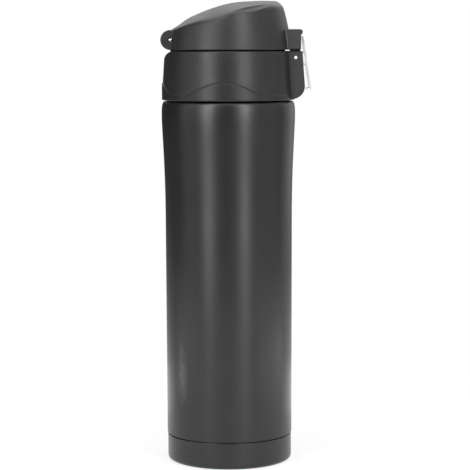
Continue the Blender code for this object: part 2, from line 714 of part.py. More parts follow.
def lid_wall_radius(z):
    """The lid's side wall, which leans in more the higher it goes."""
    h = z - LID_Z
    return LID_RADIUS - LID_DRAFT * h - 0.5 * h * h / LID_BULGE_RADIUS


def lid_share(x):
    """Place along the lid, 0 over the hinge and 1 at the front edge of the top."""
    front = lid_wall_radius(LID_Z + LID_RIM[-1][1] * LID_HEIGHT)
    return (x - HINGE_X) / (front - HINGE_X)


def lid_rim_z(x):
    return LID_Z + LID_HEIGHT * smooth_line(LID_RIM, lid_share(x))


def lid_ridge_z(x):
    return LID_Z + LID_HEIGHT * smooth_line(LID_RIDGE, lid_share(x))


def lid_rim_radius(angle):
    radius = LID_RADIUS
    for _ in range(12):
        radius = lid_wall_radius(lid_rim_z(radius * math.cos(angle)))
    return radius


@functools.cache
def lid_rim_outline():
    """The edge of the lid's top in plan, from the hinge round to the front: places and half widths."""
    angles = np.linspace(math.pi, 0.0, 91)
    radii = np.array([lid_rim_radius(a) for a in angles])
    return radii * np.cos(angles), radii * np.sin(angles)


def lid_rim_half_width(x):
    """Half the lid's width between the two edges of its top, at a place along X."""
    return float(np.interp(x, *lid_rim_outline()))


def lid_top_z(x, y):
    """The crowned top: the ridge line in the middle, falling to the rim on both sides."""
    across = min(1.0, abs(y) / max(lid_rim_half_width(x), WELD_DISTANCE))
    return lid_rim_z(x) + (lid_ridge_z(x) - lid_rim_z(x)) * (1.0 - across ** 2)


def fold_depth(x):
    """The shallow fold beside the front half of the rim."""
    along = (lid_share(x) - FOLD_FROM) / (FOLD_TO - FOLD_FROM)
    return FOLD_DEPTH * math.sin(math.pi * along) if 0.0 < along < 1.0 else 0.0


def lid_dome(name, inset, low_z, collection):
    """The lid's rounded form as a closed solid, moved in by the inset."""
    angles = [2.0 * math.pi * k / ROUND_STEPS for k in range(ROUND_STEPS)]
    rims = [(lid_rim_radius(a), lid_rim_z(lid_rim_radius(a) * math.cos(a))) for a in angles]
    bm = bmesh.new()
    rings = []
    for share in (0.0, 0.4, 0.75, 1.0):
        ring = []
        for a, (rim_radius, rim_z) in zip(angles, rims):
            z = LID_Z + share * (rim_z - LID_Z)
            radius = lid_wall_radius(z) - inset
            height = low_z if share == 0.0 else z - inset * share
            ring.append(bm.verts.new((radius * math.cos(a), radius * math.sin(a), height)))
        rings.append(ring)
    for share in (FOLD_PLACE, 0.86, 0.66, 0.4):
        ring = []
        for a, (rim_radius, rim_z) in zip(angles, rims):
            x, y = (share * rim_radius * math.cos(a), share * rim_radius * math.sin(a))
            fold = fold_depth(x) if share == FOLD_PLACE else 0.0
            shrink = (rim_radius - inset) / rim_radius
            ring.append(bm.verts.new((x * shrink, y * shrink, lid_top_z(x, y) - fold - inset)))
        rings.append(ring)
    for lower, upper in zip(rings, rings[1:]):
        for k in range(ROUND_STEPS):
            n = (k + 1) % ROUND_STEPS
            bm.faces.new((lower[k], lower[n], upper[n], upper[k]))
    peak = bm.verts.new((0.0, 0.0, lid_top_z(0.0, 0.0) - inset))
    for k in range(ROUND_STEPS):
        bm.faces.new((rings[-1][k], rings[-1][(k + 1) % ROUND_STEPS], peak))
    bm.faces.new(rings[0][::-1])
    return finished_mesh(name, bm, collection)


def nose_outline():
    """Side view of the lid's nose, whose lip overhangs the lever's upper end."""
    back = lid_wall_radius(NOSE_LOW_Z) - LID_WALL - NOSE_ROOT
    lip_x = NOSE_X + LIP_REACH
    lip_low = NOSE_TOP_Z - LIP_HEIGHT
    lip = arc((lip_x - LIP_CORNER, NOSE_TOP_Z - LIP_CORNER), LIP_CORNER, 90.0, 0.0, 4)
    under = [(lip_x, lip_low + 0.5 * LIP_CORNER), (NOSE_X, lip_low)]
    return [(back, NOSE_TOP_Z)] + lip + under + [(NOSE_X, NOSE_LOW_Z), (back, NOSE_LOW_Z)]


def hinge_notch():
    """Room in the lid for the collar's hinge knuckles, open below and behind."""
    half = NOTCH_HALF_WIDTH
    low = LID_Z - CUT_OVER
    rear = HINGE_X - 2.0 * NOTCH_RADIUS
    top = HINGE_Z + NOTCH_RADIUS
    round_front = arc((HINGE_X, HINGE_Z), NOTCH_RADIUS, 90.0, 0.0, 7)
    outline = round_front + [(HINGE_X + NOTCH_RADIUS, low), (rear, low), (rear, top)]
    return prism("hinge_notch", outline, -half, half)


def lid_lug(side):
    """A knuckle disc, longer at both ends than the cuts leave it."""
    y_from, y_to = sorted((side * (LUG_INNER_Y - CUT_OVER), side * (LUG_OUTER_Y + CUT_OVER)))
    name = "lug_left" if side > 0 else "lug_right"
    outline = arc((HINGE_X, HINGE_Z), KNUCKLE_RADIUS, 0.0, 345.0, 24)
    return prism(name, outline, y_from, y_to)


def lid_posts():
    """Posts under the dome that the lid's liner is fixed to."""
    posts = []
    spread = LID_RADIUS - POST_INSET
    for angle in np.radians(POST_ANGLES):
        x = spread * math.cos(angle)
        y = spread * math.sin(angle)
        around = arc((x, y), POST_RADIUS, 0.0, 315.0, 8)
        top = min(lid_top_z(*point) for point in around)
        start = (x, y, PLATE_TOP_Z + FIT_GAP)
        posts.append(rod(f"post_{len(posts)}", start, (x, y, top - 0.5 * LID_WALL), POST_RADIUS))
    return posts


def make_lid_cover():
    cover = lid_dome("lid_cover", 0.0, LID_Z, PARTS)
    above = LID_Z + LID_HEIGHT + CUT_OVER
    below = LID_Z - CUT_OVER
    behind = 2.0 * HINGE_X
    cut(cover, block("rear_trim", (behind, HINGE_X + REAR_TRIM), (-LID_RADIUS, LID_RADIUS),
                     (below, above)))
    join(cover, lid_lug(1), lid_lug(-1))
    cut(cover, block("side_trim_left", (behind, SIDE_TRIM_X), (LUG_OUTER_Y, LID_RADIUS), (below, above)),
        block("side_trim_right", (behind, SIDE_TRIM_X), (-LID_RADIUS, -LUG_OUTER_Y), (below, above)))
    width = LATCH_HALF_WIDTH + NOSE_SIDE_REACH
    join(cover, prism("nose", nose_outline(), -width, width))
    hollow = lid_dome("lid_hollow", LID_WALL, below, HELPERS)
    cut(hollow, block("hinge_block", (behind, BLOCK_X), (-BLOCK_HALF_WIDTH, BLOCK_HALF_WIDTH),
                      (below - CUT_OVER, above)))
    cut(cover, hollow)
    join(cover, *lid_posts())
    pocket = (HOOK_LOW_Z - FIT_GAP, NOSE_TOP_Z - LIP_HEIGHT)
    pocket_x = (NOSE_X - HOOK_DEPTH - FIT_GAP, NOSE_X + LIP_REACH + CUT_OVER)
    pocket_half = LEVER_HALF_WIDTH + SIDE_GAP
    cut(cover, block("hook_pocket", pocket_x, (-pocket_half, pocket_half), pocket))
    cut(cover, hinge_notch(), hinge_bore("lid_hinge_bore"))
    return cover


def make_lid_liner():
    """The plate over the spout's lip, with the plug that carries the gasket."""
    edge = lid_wall_radius(PLATE_TOP_Z + LID_WALL) - LID_WALL - LINER_EDGE_GAP
    inner = PLUG_RADIUS - PLUG_WALL
    floor = GASKET_Z + GASKET_HEIGHT + FIT_GAP
    skirt = GASKET_Z + 0.5 * GASKET_HEIGHT
    profile = [(0.0, floor + PLUG_WALL), (inner, floor + PLUG_WALL), (inner, PLATE_TOP_Z),
               (edge, PLATE_TOP_Z), (edge, PLATE_Z), (PLUG_RADIUS, PLATE_Z), (PLUG_RADIUS, skirt),
               (inner, skirt), (inner, floor), (0.0, floor)]
    liner = turned("lid_liner", profile)
    width = BLOCK_HALF_WIDTH + FIT_GAP
    cut(liner, block("liner_notch", (2.0 * HINGE_X, BLOCK_X + FIT_GAP), (-width, width),
                     (PLATE_Z - CUT_OVER, PLATE_TOP_Z + CUT_OVER)))
    return liner


def make_lid_gasket():
    outer = PLUG_RADIUS - PLUG_WALL - FIT_GAP
    seat = outer - GASKET_SEAT_WIDTH
    top = GASKET_Z + GASKET_HEIGHT
    edge = 0.2 * GASKET_HEIGHT
    profile = [(0.0, top), (outer, top), (outer, GASKET_Z + edge), (outer - edge, GASKET_Z),
               (seat, GASKET_Z), (seat - edge, GASKET_Z + edge), (0.0, GASKET_Z + edge)]
    return turned("lid_gasket", profile)


def make_release_lever():
    """A bent plate: foot below, hook above, and two ears that carry it on the latch pin."""
    low = LEVER_TOP_Z - LEVER_LENGTH
    hook_x = NOSE_X - HOOK_DEPTH
    foot_top = low + LEVER_THICKNESS
    inner_low = lever_face_x(foot_top) - LEVER_THICKNESS
    outline = [(lever_face_x(LEVER_TOP_Z), LEVER_TOP_Z), (lever_face_x(low), low),
               (lever_face_x(low) - FOOT_LENGTH, low), (lever_face_x(low) - FOOT_LENGTH, foot_top),
               (inner_low, foot_top), (lever_face_x(HOOK_LOW_Z) - LEVER_THICKNESS, HOOK_LOW_Z),
               (hook_x, HOOK_LOW_Z), (hook_x, LEVER_TOP_Z)]
    half = LEVER_HALF_WIDTH
    lever = prism("release_lever", outline, -half, half, PARTS)
    for side in (1, -1):
        join(lever, lever_ear(side))
    cut(lever, latch_bore("lever_bore"))
    return lever


def lever_ear(side):
    y_from, y_to = sorted((side * (LEVER_HALF_WIDTH - EAR_THICKNESS), side * LEVER_HALF_WIDTH))
    name = "ear_left" if side > 0 else "ear_right"
    high, low = (LATCH_PIN_Z + EAR_RISE, LATCH_PIN_Z - EAR_DROP)
    sunk = 0.5 * LEVER_THICKNESS
    round_end = arc((LATCH_PIN_X, LATCH_PIN_Z), EAR_RADIUS, 100.0, 260.0, 9)
    front = [(lever_face_x(low) - sunk, low), (lever_face_x(high) - sunk, high)]
    return prism(name, round_end + front, y_from, y_to)


def make_lever_spring():
    """A compression coil along X between the housing and the lever."""
    z, x_from, x_to = spring_line()
    start = x_from + 0.5 * SPRING_WIRE
    length = x_to - x_from - SPRING_WIRE
    count = SPRING_TURNS * COIL_POINTS
    points = []
    for k in range(count + 1):
        angle = 2.0 * math.pi * k / COIL_POINTS
        points.append((start + length * k / count, SPRING_COIL_RADIUS * math.cos(angle),
                       z + SPRING_COIL_RADIUS * math.sin(angle)))
    print("lever_spring least self gap, m:", round(least_self_gap(points, SPRING_WIRE), 5))
    return wire("lever_spring", points, SPRING_WIRE)


def make_hinge_spring():
    """A torsion coil round the hinge pin, with one leg on the collar and one on the lid."""
    count = int(HINGE_COIL_TURNS * COIL_POINTS)
    width = HINGE_COIL_WIDTH
    front = HINGE_X + HINGE_COIL_RADIUS
    points = [(front, -0.5 * width, COLLAR_TOP_Z + FIT_GAP)]
    for k in range(count + 1):
        angle = 2.0 * math.pi * HINGE_COIL_TURNS * k / count
        points.append((HINGE_X + HINGE_COIL_RADIUS * math.cos(angle), width * (k / count - 0.5),
                       HINGE_Z + HINGE_COIL_RADIUS * math.sin(angle)))
    points.append((HINGE_X + NOTCH_RADIUS - FIT_GAP, 0.5 * width, points[-1][2]))
    print("hinge_spring least self gap, m:", round(least_self_gap(points, HINGE_WIRE), 5))
    return wire("hinge_spring", points, HINGE_WIRE)


def make_pins():
    hinge_reach = LUG_OUTER_Y
    hinge = rod("hinge_pin", (HINGE_X, -hinge_reach, HINGE_Z), (HINGE_X, hinge_reach, HINGE_Z),
                HINGE_PIN_RADIUS, PARTS)
    latch_reach = LATCH_HALF_WIDTH
    latch = rod("latch_pin", (LATCH_PIN_X, -latch_reach, LATCH_PIN_Z),
                (LATCH_PIN_X, latch_reach, LATCH_PIN_Z), LATCH_PIN_RADIUS, PARTS)
    return hinge, latch


def main():
    flask = new_empty("flask_axis", (0.0, 0.0, 0.0))
    unit = new_empty("unit_axis", (0.0, 0.0, COLLAR_LOW_Z))
    lid = new_empty("lid_axis", (HINGE_X, 0.0, HINGE_Z))
    lever = new_empty("lever_axis", (LATCH_PIN_X, 0.0, LATCH_PIN_Z))

    as_part(make_outer_shell(), "paint", flask)
    as_part(make_inner_liner(), "steel", flask)
    as_part(make_outer_bottom(), "steel", flask)
    as_part(make_seal_bead(), "glass", flask)
    as_part(make_getter(), "getter_alloy", flask)
    as_part(make_base_cap(), "paint", flask)

    as_part(make_collar(), "moulding", unit)
    as_part(make_threaded_sleeve(), "moulding", unit)
    as_part(make_spout(), "moulding", unit)
    as_part(seal_ring("spout_seal", TUBE_RADIUS + FIT_GAP, FLANGE_RADIUS, SPOUT_SEAL_Z,
                      SPOUT_SEAL_HEIGHT), "silicone", unit)
    as_part(seal_ring("mouth_seal", TUBE_RADIUS + FIT_GAP, SLEEVE_BORE - FIT_GAP, MOUTH_SEAL_Z,
                      MOUTH_SEAL_HEIGHT), "silicone", unit)
    for pin in make_pins():
        as_part(pin, "steel", unit)
    as_part(make_hinge_spring(), "steel", unit)
    as_part(make_lever_spring(), "steel", unit)

    as_part(make_release_lever(), "chrome", lever)

    as_part(make_lid_cover(), "moulding", lid)
    as_part(make_lid_liner(), "moulding", lid)
    as_part(make_lid_gasket(), "silicone", lid)


clear_scene()
PARTS = new_collection("vacuum_flask")
HELPERS = new_collection("vacuum_flask_cutters")
MATERIALS = {name: new_material(name) for name in COLOURS}
main()
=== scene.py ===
import json
from math import acos, cos, degrees, hypot, pi, radians, sin, sqrt, tan, tau

import bmesh
import bpy
import numpy as np
from mathutils import Matrix, Vector


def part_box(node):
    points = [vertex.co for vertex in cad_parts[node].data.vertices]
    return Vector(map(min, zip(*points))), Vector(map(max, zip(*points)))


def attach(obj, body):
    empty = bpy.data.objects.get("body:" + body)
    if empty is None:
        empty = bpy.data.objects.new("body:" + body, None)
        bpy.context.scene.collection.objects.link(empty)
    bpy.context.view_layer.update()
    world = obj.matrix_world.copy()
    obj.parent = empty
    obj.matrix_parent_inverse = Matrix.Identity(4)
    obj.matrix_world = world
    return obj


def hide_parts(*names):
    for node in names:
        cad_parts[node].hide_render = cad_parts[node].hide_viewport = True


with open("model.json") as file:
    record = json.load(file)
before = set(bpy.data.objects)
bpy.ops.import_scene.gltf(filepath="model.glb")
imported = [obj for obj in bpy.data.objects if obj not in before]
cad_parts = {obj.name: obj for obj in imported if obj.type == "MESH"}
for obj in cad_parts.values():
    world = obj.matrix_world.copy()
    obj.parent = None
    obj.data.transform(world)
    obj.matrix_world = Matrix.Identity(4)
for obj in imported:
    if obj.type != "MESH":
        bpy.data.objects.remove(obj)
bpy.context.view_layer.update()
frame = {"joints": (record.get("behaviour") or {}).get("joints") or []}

# Boxes and joints that the frame gives, in metres
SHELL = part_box("outer_shell")
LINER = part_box("inner_liner")
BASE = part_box("base_cap")
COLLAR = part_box("collar")
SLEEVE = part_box("threaded_sleeve")
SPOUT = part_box("spout")
SPOUT_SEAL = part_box("spout_seal")
MOUTH_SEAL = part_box("mouth_seal")
HINGE_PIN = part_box("hinge_pin")
LATCH_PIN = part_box("latch_pin")
HINGE_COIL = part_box("hinge_spring")
LEVER_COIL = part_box("lever_spring")
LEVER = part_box("release_lever")
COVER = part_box("lid_cover")
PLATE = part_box("lid_liner")
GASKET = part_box("lid_gasket")
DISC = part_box("outer_bottom")
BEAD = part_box("vacuum_seal_bead")
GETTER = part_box("getter")
JOINTS = {joint["name"]: joint for joint in frame["joints"]}
HINGE_X, _, HINGE_Z = JOINTS["lid_hinge"]["pos_m"]
LATCH_X, _, LATCH_Z = JOINTS["lever_press"]["pos_m"]

# Sizes that follow from them
SHOULDER_R = SHELL[1].x
NECK_TOP_Z = SHELL[1].z
BASE_R = BASE[1].x
BASE_TOP_Z = BASE[1].z
COLLAR_LOW_Z = COLLAR[0].z
BAND_R = COLLAR[1].y
HINGE_PIN_R = HINGE_PIN[1].z - HINGE_Z
LATCH_PIN_R = LATCH_PIN[1].z - LATCH_Z
LATCH_HALF = LATCH_PIN[1].y
LEVER_HALF = LEVER[1].y
LEVER_LOW_Z = LEVER[0].z
LEVER_TOP_Z = LEVER[1].z
LEVER_COIL_Z = 0.5 * (LEVER_COIL[0].z + LEVER_COIL[1].z)
LUG_OUTER_Y = HINGE_PIN[1].y
LID_R = COVER[1].y
LID_Z = COVER[0].z

# Clearances, rounded edges, and steps round a turned form
FIT_GAP = 0.0003
PIN_GAP = 0.0002
SIDE_GAP = 0.0005
BOX_GAP = 0.00001
CUT_OVER = 0.001
TINY_EDGE = 0.0001
SMALL_EDGE = 0.0002
FINE_EDGE = 0.0003
THIN_EDGE = 0.0004
SOFT_EDGE = 0.0005
BAR_STEPS = 48
DISC_STEPS = 96
LINER_STEPS = 128
ROUND_STEPS = 192
BODY_STEPS = 256
FINE_STEPS = 288

# Body
SHELL_WALL = 0.0006
SHOULDER_Z = COLLAR_LOW_Z - 0.0006
SHOULDER_EDGE_INSET = 0.0017
SHOULDER_TOP_BEND = 0.0003
SHOULDER_SIDE_BEND = 0.0042
WIDEST_Z = SHOULDER_Z - 0.0066
FLARE_TOP_BEND = 0.008
FLARE_LOW_BEND = 0.030
WAIST_Z = WIDEST_Z - 0.054
WAIST_R = LINER[1].x + 0.0032
FOOT_R = BASE_R + 0.00025
SEAM_Z = BASE_TOP_Z + 0.0004
NECK_R = SHOULDER_R - 0.0087
NECK_FILLET = 0.001
BASE_CORNER = 0.0022
BASE_RECESS = 0.0008
BASE_RIM_WIDTH = 0.004
BASE_RIM_ROUND = 0.0006
SPIGOT_R = BASE_R - SHELL_WALL - FIT_GAP
LINER_WALL = 0.0005
LINER_CORNER = 0.008
LINER_CONE = 0.012
LINER_BEND = 0.4 * LINER_CONE
MOUTH_R = NECK_R - SHELL_WALL - FIT_GAP - LINER_WALL
DISC_FLANGE = 0.002
DIMPLE_R = 0.004

# Threads
THREAD_PITCH = 0.004
THREAD_HEIGHT = 0.0009
THREAD_WIDTH = 0.0016
THREAD_TURNS = 1.75
THREAD_STEPS = 72
THREAD_FADE_STEPS = 12.0
NECK_THREAD_Z = SHOULDER_Z + 0.0038
SLEEVE_THREAD_Z = SHOULDER_Z + 0.0058

# Collar, sleeve and spout
DECK_THICKNESS = 0.002
DECK_Z = SLEEVE[1].z + FIT_GAP + DECK_THICKNESS
DECK_LOW_Z = DECK_Z - DECK_THICKNESS
LID_OVERHANG = 0.00005
COLLAR_TOP_R = LID_R - LID_OVERHANG
COLLAR_TAPER = 0.001515
COLLAR_WALL = 0.002
COLLAR_EDGE = 0.0005
COLLAR_TOP_EDGE = 0.0007
WELL_R = NECK_R + 0.0008
WAVE_LOW = 0.0018
WAVE_RISE = 0.0066
WAVE_STEP = 0.0005
WAVE_GROOVE = 0.00012
WAVE_CENTRES = (94.0, 180.0, 266.0)
WAVE_HALF = 40.0
RELIEF_R = 0.0052
BARREL_R = COLLAR[1].z - HINGE_Z
BARREL_FOOT = 0.004
HOUSING_LOW_X = COLLAR[1].x
HOUSING_TOP_X = HOUSING_LOW_X - 0.0012
HOUSING_DROP = 0.0001
HOUSING_CORNER = 0.0063
HOUSING_ROUND = 0.0006
CHEEK = 0.002
CHANNEL_X = COLLAR_TOP_R + LID_OVERHANG
CHANNEL_FLOOR_Z = COLLAR_LOW_Z + 0.0038
STUD_R = 0.00165
STUD_LENGTH = 0.0015
STUD_ROOT = 0.001
SEAM_LIP_R = 0.0280
SEAM_LIP_WALL = 0.0008
SEAM_LIP_RISE = 0.0008
SLEEVE_BORE = NECK_R + 0.0016
SLEEVE_WALL = 0.002
SLEEVE_FLANGE = 0.0016
SEAL_WIDTH = 0.0021
SPOUT_WALL = 0.0018
SPOUT_FLANGE = 0.0017
BOWL_STEP = 0.003
BOWL_TAPER = 0.0033
THROAT_INSET = 0.0062

# Lid; its rim and ridge are (share of the length from the hinge, share of the height)
LID_WALL = 0.0018
LID_EDGE = 0.0005
LID_LOW_Z = LID_Z + 0.0002
LID_TOP_GAP = 0.00002
LID_DRAFT = 0.11
LID_BULGE_R = 0.119
LID_RIM = ((0.0, 0.408), (0.16, 0.512), (0.26, 0.566), (0.38, 0.607), (0.455, 0.653),
           (0.515, 0.712), (0.56, 0.740), (0.63, 0.752), (0.70, 0.766), (0.775, 0.795),
           (0.847, 0.845), (0.92, 0.890), (1.0, 0.912))
LID_RIDGE = ((0.0, 0.417), (0.075, 0.525), (0.15, 0.645), (0.25, 0.752), (0.38, 0.863),
             (0.51, 0.945), (0.60, 0.977), (0.71, 0.993), (0.80, 1.0), (0.89, 0.997),
             (0.945, 0.986), (1.0, 0.912))
STEP_FROM_X = -0.002
STEP_TO_X = 0.0225
STEP_RISE = 0.0016
STEP_RUN = 0.0011
STEP_IN_SHARE = 0.55
STEP_OUT_SHARE = 0.40
STEP_CRISP = 0.6
CRISP_IN = 0.004
CRISP_OUT = 0.008
SHELF_WIDTH = 0.0040
SHELF_FROM_SHARE = 0.05
SHELF_RUN_SHARE = 0.60
TOP_FINE_SHARE = 0.80
TOP_LAST_SHARE = 0.04
RIM_ROUND = 0.0018
FRONT_ROUND = 0.0005
KNUCKLE_R = HINGE_X - COVER[0].x
LUG_INNER_Y = LUG_OUTER_Y - 0.006
BARREL_OUTER_Y = LUG_INNER_Y - FIT_GAP
BARREL_INNER_Y = BARREL_OUTER_Y - 0.0032
REAR_TRIM = 0.0005
SIDE_TRIM = 0.0023
NOTCH_R = KNUCKLE_R + FIT_GAP
BLOCK_X = HINGE_X + NOTCH_R + LID_WALL
BLOCK_HALF = LUG_OUTER_Y + SIDE_GAP
NOSE_LIP_REACH = 0.0009
NOSE_LIP_HEIGHT = 0.003
NOSE_LIP_ROUND = 0.0014
NOSE_X = COVER[1].x - NOSE_LIP_REACH
NOSE_LOW_Z = LID_Z + 0.0004
NOSE_TOP_Z = NOSE_LOW_Z + 0.0099
NOSE_HALF = LATCH_HALF + 0.0012
NOSE_BEVEL = 0.0006
NOSE_TAPER = 0.001
RIB_HALF = 0.007
RIB_BACK = 0.0001
RIB_X = LID_R - 0.0009
RIB_LOW_Z = DECK_Z - 0.0004
PLATE_THICKNESS = 0.0014
PLUG_WALL = 0.0015
GASKET_SEAT = 0.003
GASKET_LIP = 0.0006

# Lever, pins and springs
LEVER_THICKNESS = 0.001
LEVER_LEAN = tan(radians(8.5))
LEVER_EDGE = 0.00015
HOOK_X = NOSE_X - 0.0008
HOOK_HEIGHT = 0.0014
FOOT_LENGTH = 0.0024
FOOT_LAP = 0.0003
EAR_THICKNESS = 0.0012
EAR_R = 0.0014
EAR_INSET = 0.00002
EAR_RISE = 0.0028
EAR_DROP = 0.0042
EAR_LAP = 0.0005
HINGE_PIN_DOME = 0.0007
LATCH_PIN_DOME = 0.0004
PIN_DOME_DEGREES = (20.0, 40.0, 55.0, 70.0, 80.0, 90.0)
HINGE_WIRE = 0.0006
HINGE_WIND_R = 0.0023
HINGE_TURNS = 4.75
HINGE_WIND_GAP = 0.0006
HINGE_LEG_GAP = 0.0001
LEVER_WIRE = 0.0005
LEVER_WIND_R = 0.0022
LEVER_TURNS = 4.0
LEVER_WIND_OVER = 0.0002
LEVER_LEG_DROP = 0.003

# Finishes
EVEN = (1.0, 1.0, 1.0)
WHITE = (1.0, 1.0, 1.0, 1.0)
NOISE_LOW = 0.3
NOISE_HIGH = 0.7
# Where a light streak is painted on the body as a highlight
PAINTED_HIGHLIGHT_CENTRE = (-0.0233, -0.0210, 0.0458)
PAINTED_HIGHLIGHT_SIZE = (0.0038, 0.0062, 0.0175)
SHARP_DEGREES = 32.0
WIRE_SHARP_DEGREES = 60.0

# Studio
FLOOR_HALF = 4.0
FLOOR_DEPTH = 0.02
SHEET_R = 0.75
SHEET_LIGHT = (0.0, 0.75)
WIDE_R = 1.8
WIDE_LIGHT = (0.03, 0.32)
SHEET_OFFSET = 0.10
SHADOW_R = 0.22
SHADOW_SHARE = 0.22
FULL_FROM = 0.6
ROOM_LIGHT = 0.065
AIM = (0.0, 0.0, 0.12)
TOP_LIGHT = (1.0, 1.0, 3.6, (0.0, -0.10, 1.2))
# Lights round the object: degrees from the camera, distance, width, height, height of the
# middle, radiance
LIGHTS = {
    "left_strip": (-35.8, 1.0, 0.33, 1.1, 0.50, 7.8),
    "left_panel": (-74.0, 1.0, 0.52, 1.1, 0.50, 1.05),
    "right_strip": (28.6, 1.0, 0.26, 1.1, 0.50, 9.0),
    "right_panel": (74.0, 1.0, 0.95, 1.1, 0.50, 0.74),
    "right_back": (132.0, 1.0, 0.90, 1.1, 0.50, 0.85),
    "back_low": (178.0, 1.4, 0.70, 0.7, 0.20, 0.8),
    "foot_left": (-140.0, 0.12, 0.14, 0.03, 0.016, 0.45),
    "foot_side_left": (-75.0, 0.28, 0.28, 0.04, 0.022, 1.2),
    "foot_front": (10.0, 0.28, 0.36, 0.03, 0.016, 1.0),
    "foot_side_right": (78.0, 0.25, 0.28, 0.03, 0.016, 1.9),
    "foot_right": (140.0, 0.12, 0.14, 0.03, 0.016, 0.5),
    "back_high": (180.0, 1.3, 2.0, 1.1, 1.15, 1.6),
}

# Camera: found from the ellipses of the seams and the known heights in the photo
CAMERA_X = 0.0031
CAMERA_DISTANCE = 0.925
CAMERA_Z = 0.2081
CAMERA_PITCH = 5.85
CAMERA_ROLL = -0.2
FOCAL_PIXELS = 1850.0
PHOTO_PIXELS = 470.0
SENSOR_MM = 36.0
CLIP_RANGE = (0.01, 50.0)


def place(name, data):
    obj = bpy.data.objects.new(name, data)
    bpy.context.scene.collection.objects.link(obj)
    return obj


def from_bmesh(name, bm):
    bmesh.ops.remove_doubles(bm, verts=bm.verts, dist=1e-7)
    bmesh.ops.recalc_face_normals(bm, faces=bm.faces)
    mesh = bpy.data.meshes.new(name)
    bm.to_mesh(mesh)
    bm.free()
    return place(name, mesh)


def evaluated_mesh(obj):
    bpy.context.view_layer.update()
    return bpy.data.meshes.new_from_object(obj.evaluated_get(bpy.context.evaluated_depsgraph_get()))


def apply_modifiers(obj):
    mesh = evaluated_mesh(obj)
    obj.modifiers.clear()
    obj.data = mesh


def skin(bm, rows, closed=False):
    """Faces between rings of as many points each."""
    for low, high in zip(rows, rows[1:] + rows[:1] if closed else rows[1:]):
        for k in range(len(low)):
            n = (k + 1) % len(low)
            bm.faces.new((low[k], low[n], high[n], high[k]))


def points_of(bm, rings):
    return [[bm.verts.new(point) for point in ring] for ring in rings]


def grid(name, rings, closed_rows=False):
    """A solid over rings of points, with end faces unless it closes in itself."""
    bm = bmesh.new()
    rows = points_of(bm, rings)
    skin(bm, rows, closed_rows)
    if not closed_rows:
        for row in (rows[0], rows[-1]):
            bm.faces.new(row)
    return from_bmesh(name, bm)


def arc(centre, radius, start, end, count):
    angles = np.radians(np.linspace(start, end, count))
    return [(centre[0] + radius * cos(a), centre[1] + radius * sin(a)) for a in angles]


def curve_points(start, start_handle, end_handle, end, count):
    """Points on a cubic curve, both ends included."""
    t = np.linspace(0.0, 1.0, count)[:, None]
    a, b, c, d = (np.array(p) for p in (start, start_handle, end_handle, end))
    line = (1 - t) ** 3 * a + 3 * t * (1 - t) ** 2 * b + 3 * t * t * (1 - t) * c + t ** 3 * d
    return [tuple(p) for p in line]


def rounded(points, radius, steps=4, closed=True):
    """The outline with each corner sharper than 20 degrees rounded over."""
    out = []
    last = len(points) - 1
    for i, point in enumerate(points):
        before, corner, after = map(np.array, (points[i - 1], point, points[(i + 1) % len(points)]))
        back, on = before - corner, after - corner
        back_length, on_length = np.linalg.norm(back), np.linalg.norm(on)
        turn = pi - acos(np.clip(back @ on / (back_length * on_length), -1.0, 1.0))
        if turn < radians(20.0) or (not closed and i in (0, last)):
            out.append(tuple(point))
            continue
        cut_back = min(radius * tan(0.5 * turn), 0.45 * back_length, 0.45 * on_length)
        start = corner + back / back_length * cut_back
        end = corner + on / on_length * cut_back
        for t in np.linspace(0.0, 1.0, steps + 1):
            out.append(tuple((1 - t) ** 2 * start + 2 * t * (1 - t) * corner + t * t * end))
    return out


def round_angles(steps):
    return np.linspace(0.0, tau, steps, endpoint=False)


def turned_to(angle, profile, lift=0.0):
    return [(r * cos(angle), r * sin(angle), z + lift) for r, z in profile]


def swept(name, profile_at, steps=ROUND_STEPS):
    """A closed (radius, height) profile that may change on its way round Z."""
    return grid(name, [turned_to(a, profile_at(a)) for a in round_angles(steps)], closed_rows=True)


def turned(name, profile, radius=0.0, steps=ROUND_STEPS):
    """A (radius, height) profile turned about Z. One that starts on the axis ends there."""
    on_axis = profile[0][0] == 0.0
    outline = rounded(profile, radius, closed=not on_axis) if radius else profile
    if not on_axis:
        return swept(name, lambda angle: outline, steps)
    bm = bmesh.new()
    rows = points_of(bm, [turned_to(a, outline[1:-1]) for a in round_angles(steps)])
    ends = [bm.verts.new((0.0, 0.0, outline[i][1])) for i in (0, -1)]
    for row, after in zip(rows, rows[1:] + rows[:1]):
        bm.faces.new((ends[0], row[0], after[0]))
        for j in range(len(row) - 1):
            bm.faces.new((row[j], row[j + 1], after[j + 1], after[j]))
        bm.faces.new((row[-1], ends[1], after[-1]))
    return from_bmesh(name, bm)


def prism(name, outline, y_from, y_to, edge=0.0):
    """An (x, z) outline carried along Y, with rounded end edges."""
    bm = bmesh.new()
    ends = points_of(bm, [[(x, y, z) for x, z in outline] for y in (y_from, y_to)])
    skin(bm, ends)
    caps = [bm.faces.new(ends[0]), bm.faces.new(ends[1])]
    bmesh.ops.recalc_face_normals(bm, faces=bm.faces)
    if edge:
        rims = {e for face in caps for e in face.edges}
        bmesh.ops.bevel(bm, geom=list(rims), offset=edge, segments=3, profile=0.5, affect="EDGES",
                        clamp_overlap=True)
    return from_bmesh(name, bm)


def rectangle(x0, x1, z0, z1):
    return [(x0, z0), (x1, z0), (x1, z1), (x0, z1)]


def block(name, x_range, y_range, z_range):
    return prism(name, rectangle(*x_range, *z_range), *y_range)


def bar(name, start, end, radius, chamfer=0.0):
    """A round bar between two points."""
    length = (Vector(end) - Vector(start)).length
    outline = [(0.0, 0.0), (radius, 0.0), (radius, length), (0.0, length)]
    obj = turned(name, outline, chamfer, BAR_STEPS)
    turn = (Vector(end) - Vector(start)).to_track_quat("Z", "Y")
    obj.data.transform(Matrix.LocRotScale(Vector(start), turn, None))
    return obj


def across(name, x, z, radius, half):
    """A round bar along Y, to cut a bore with."""
    return bar(name, (x, -half, z), (x, half, z), radius)


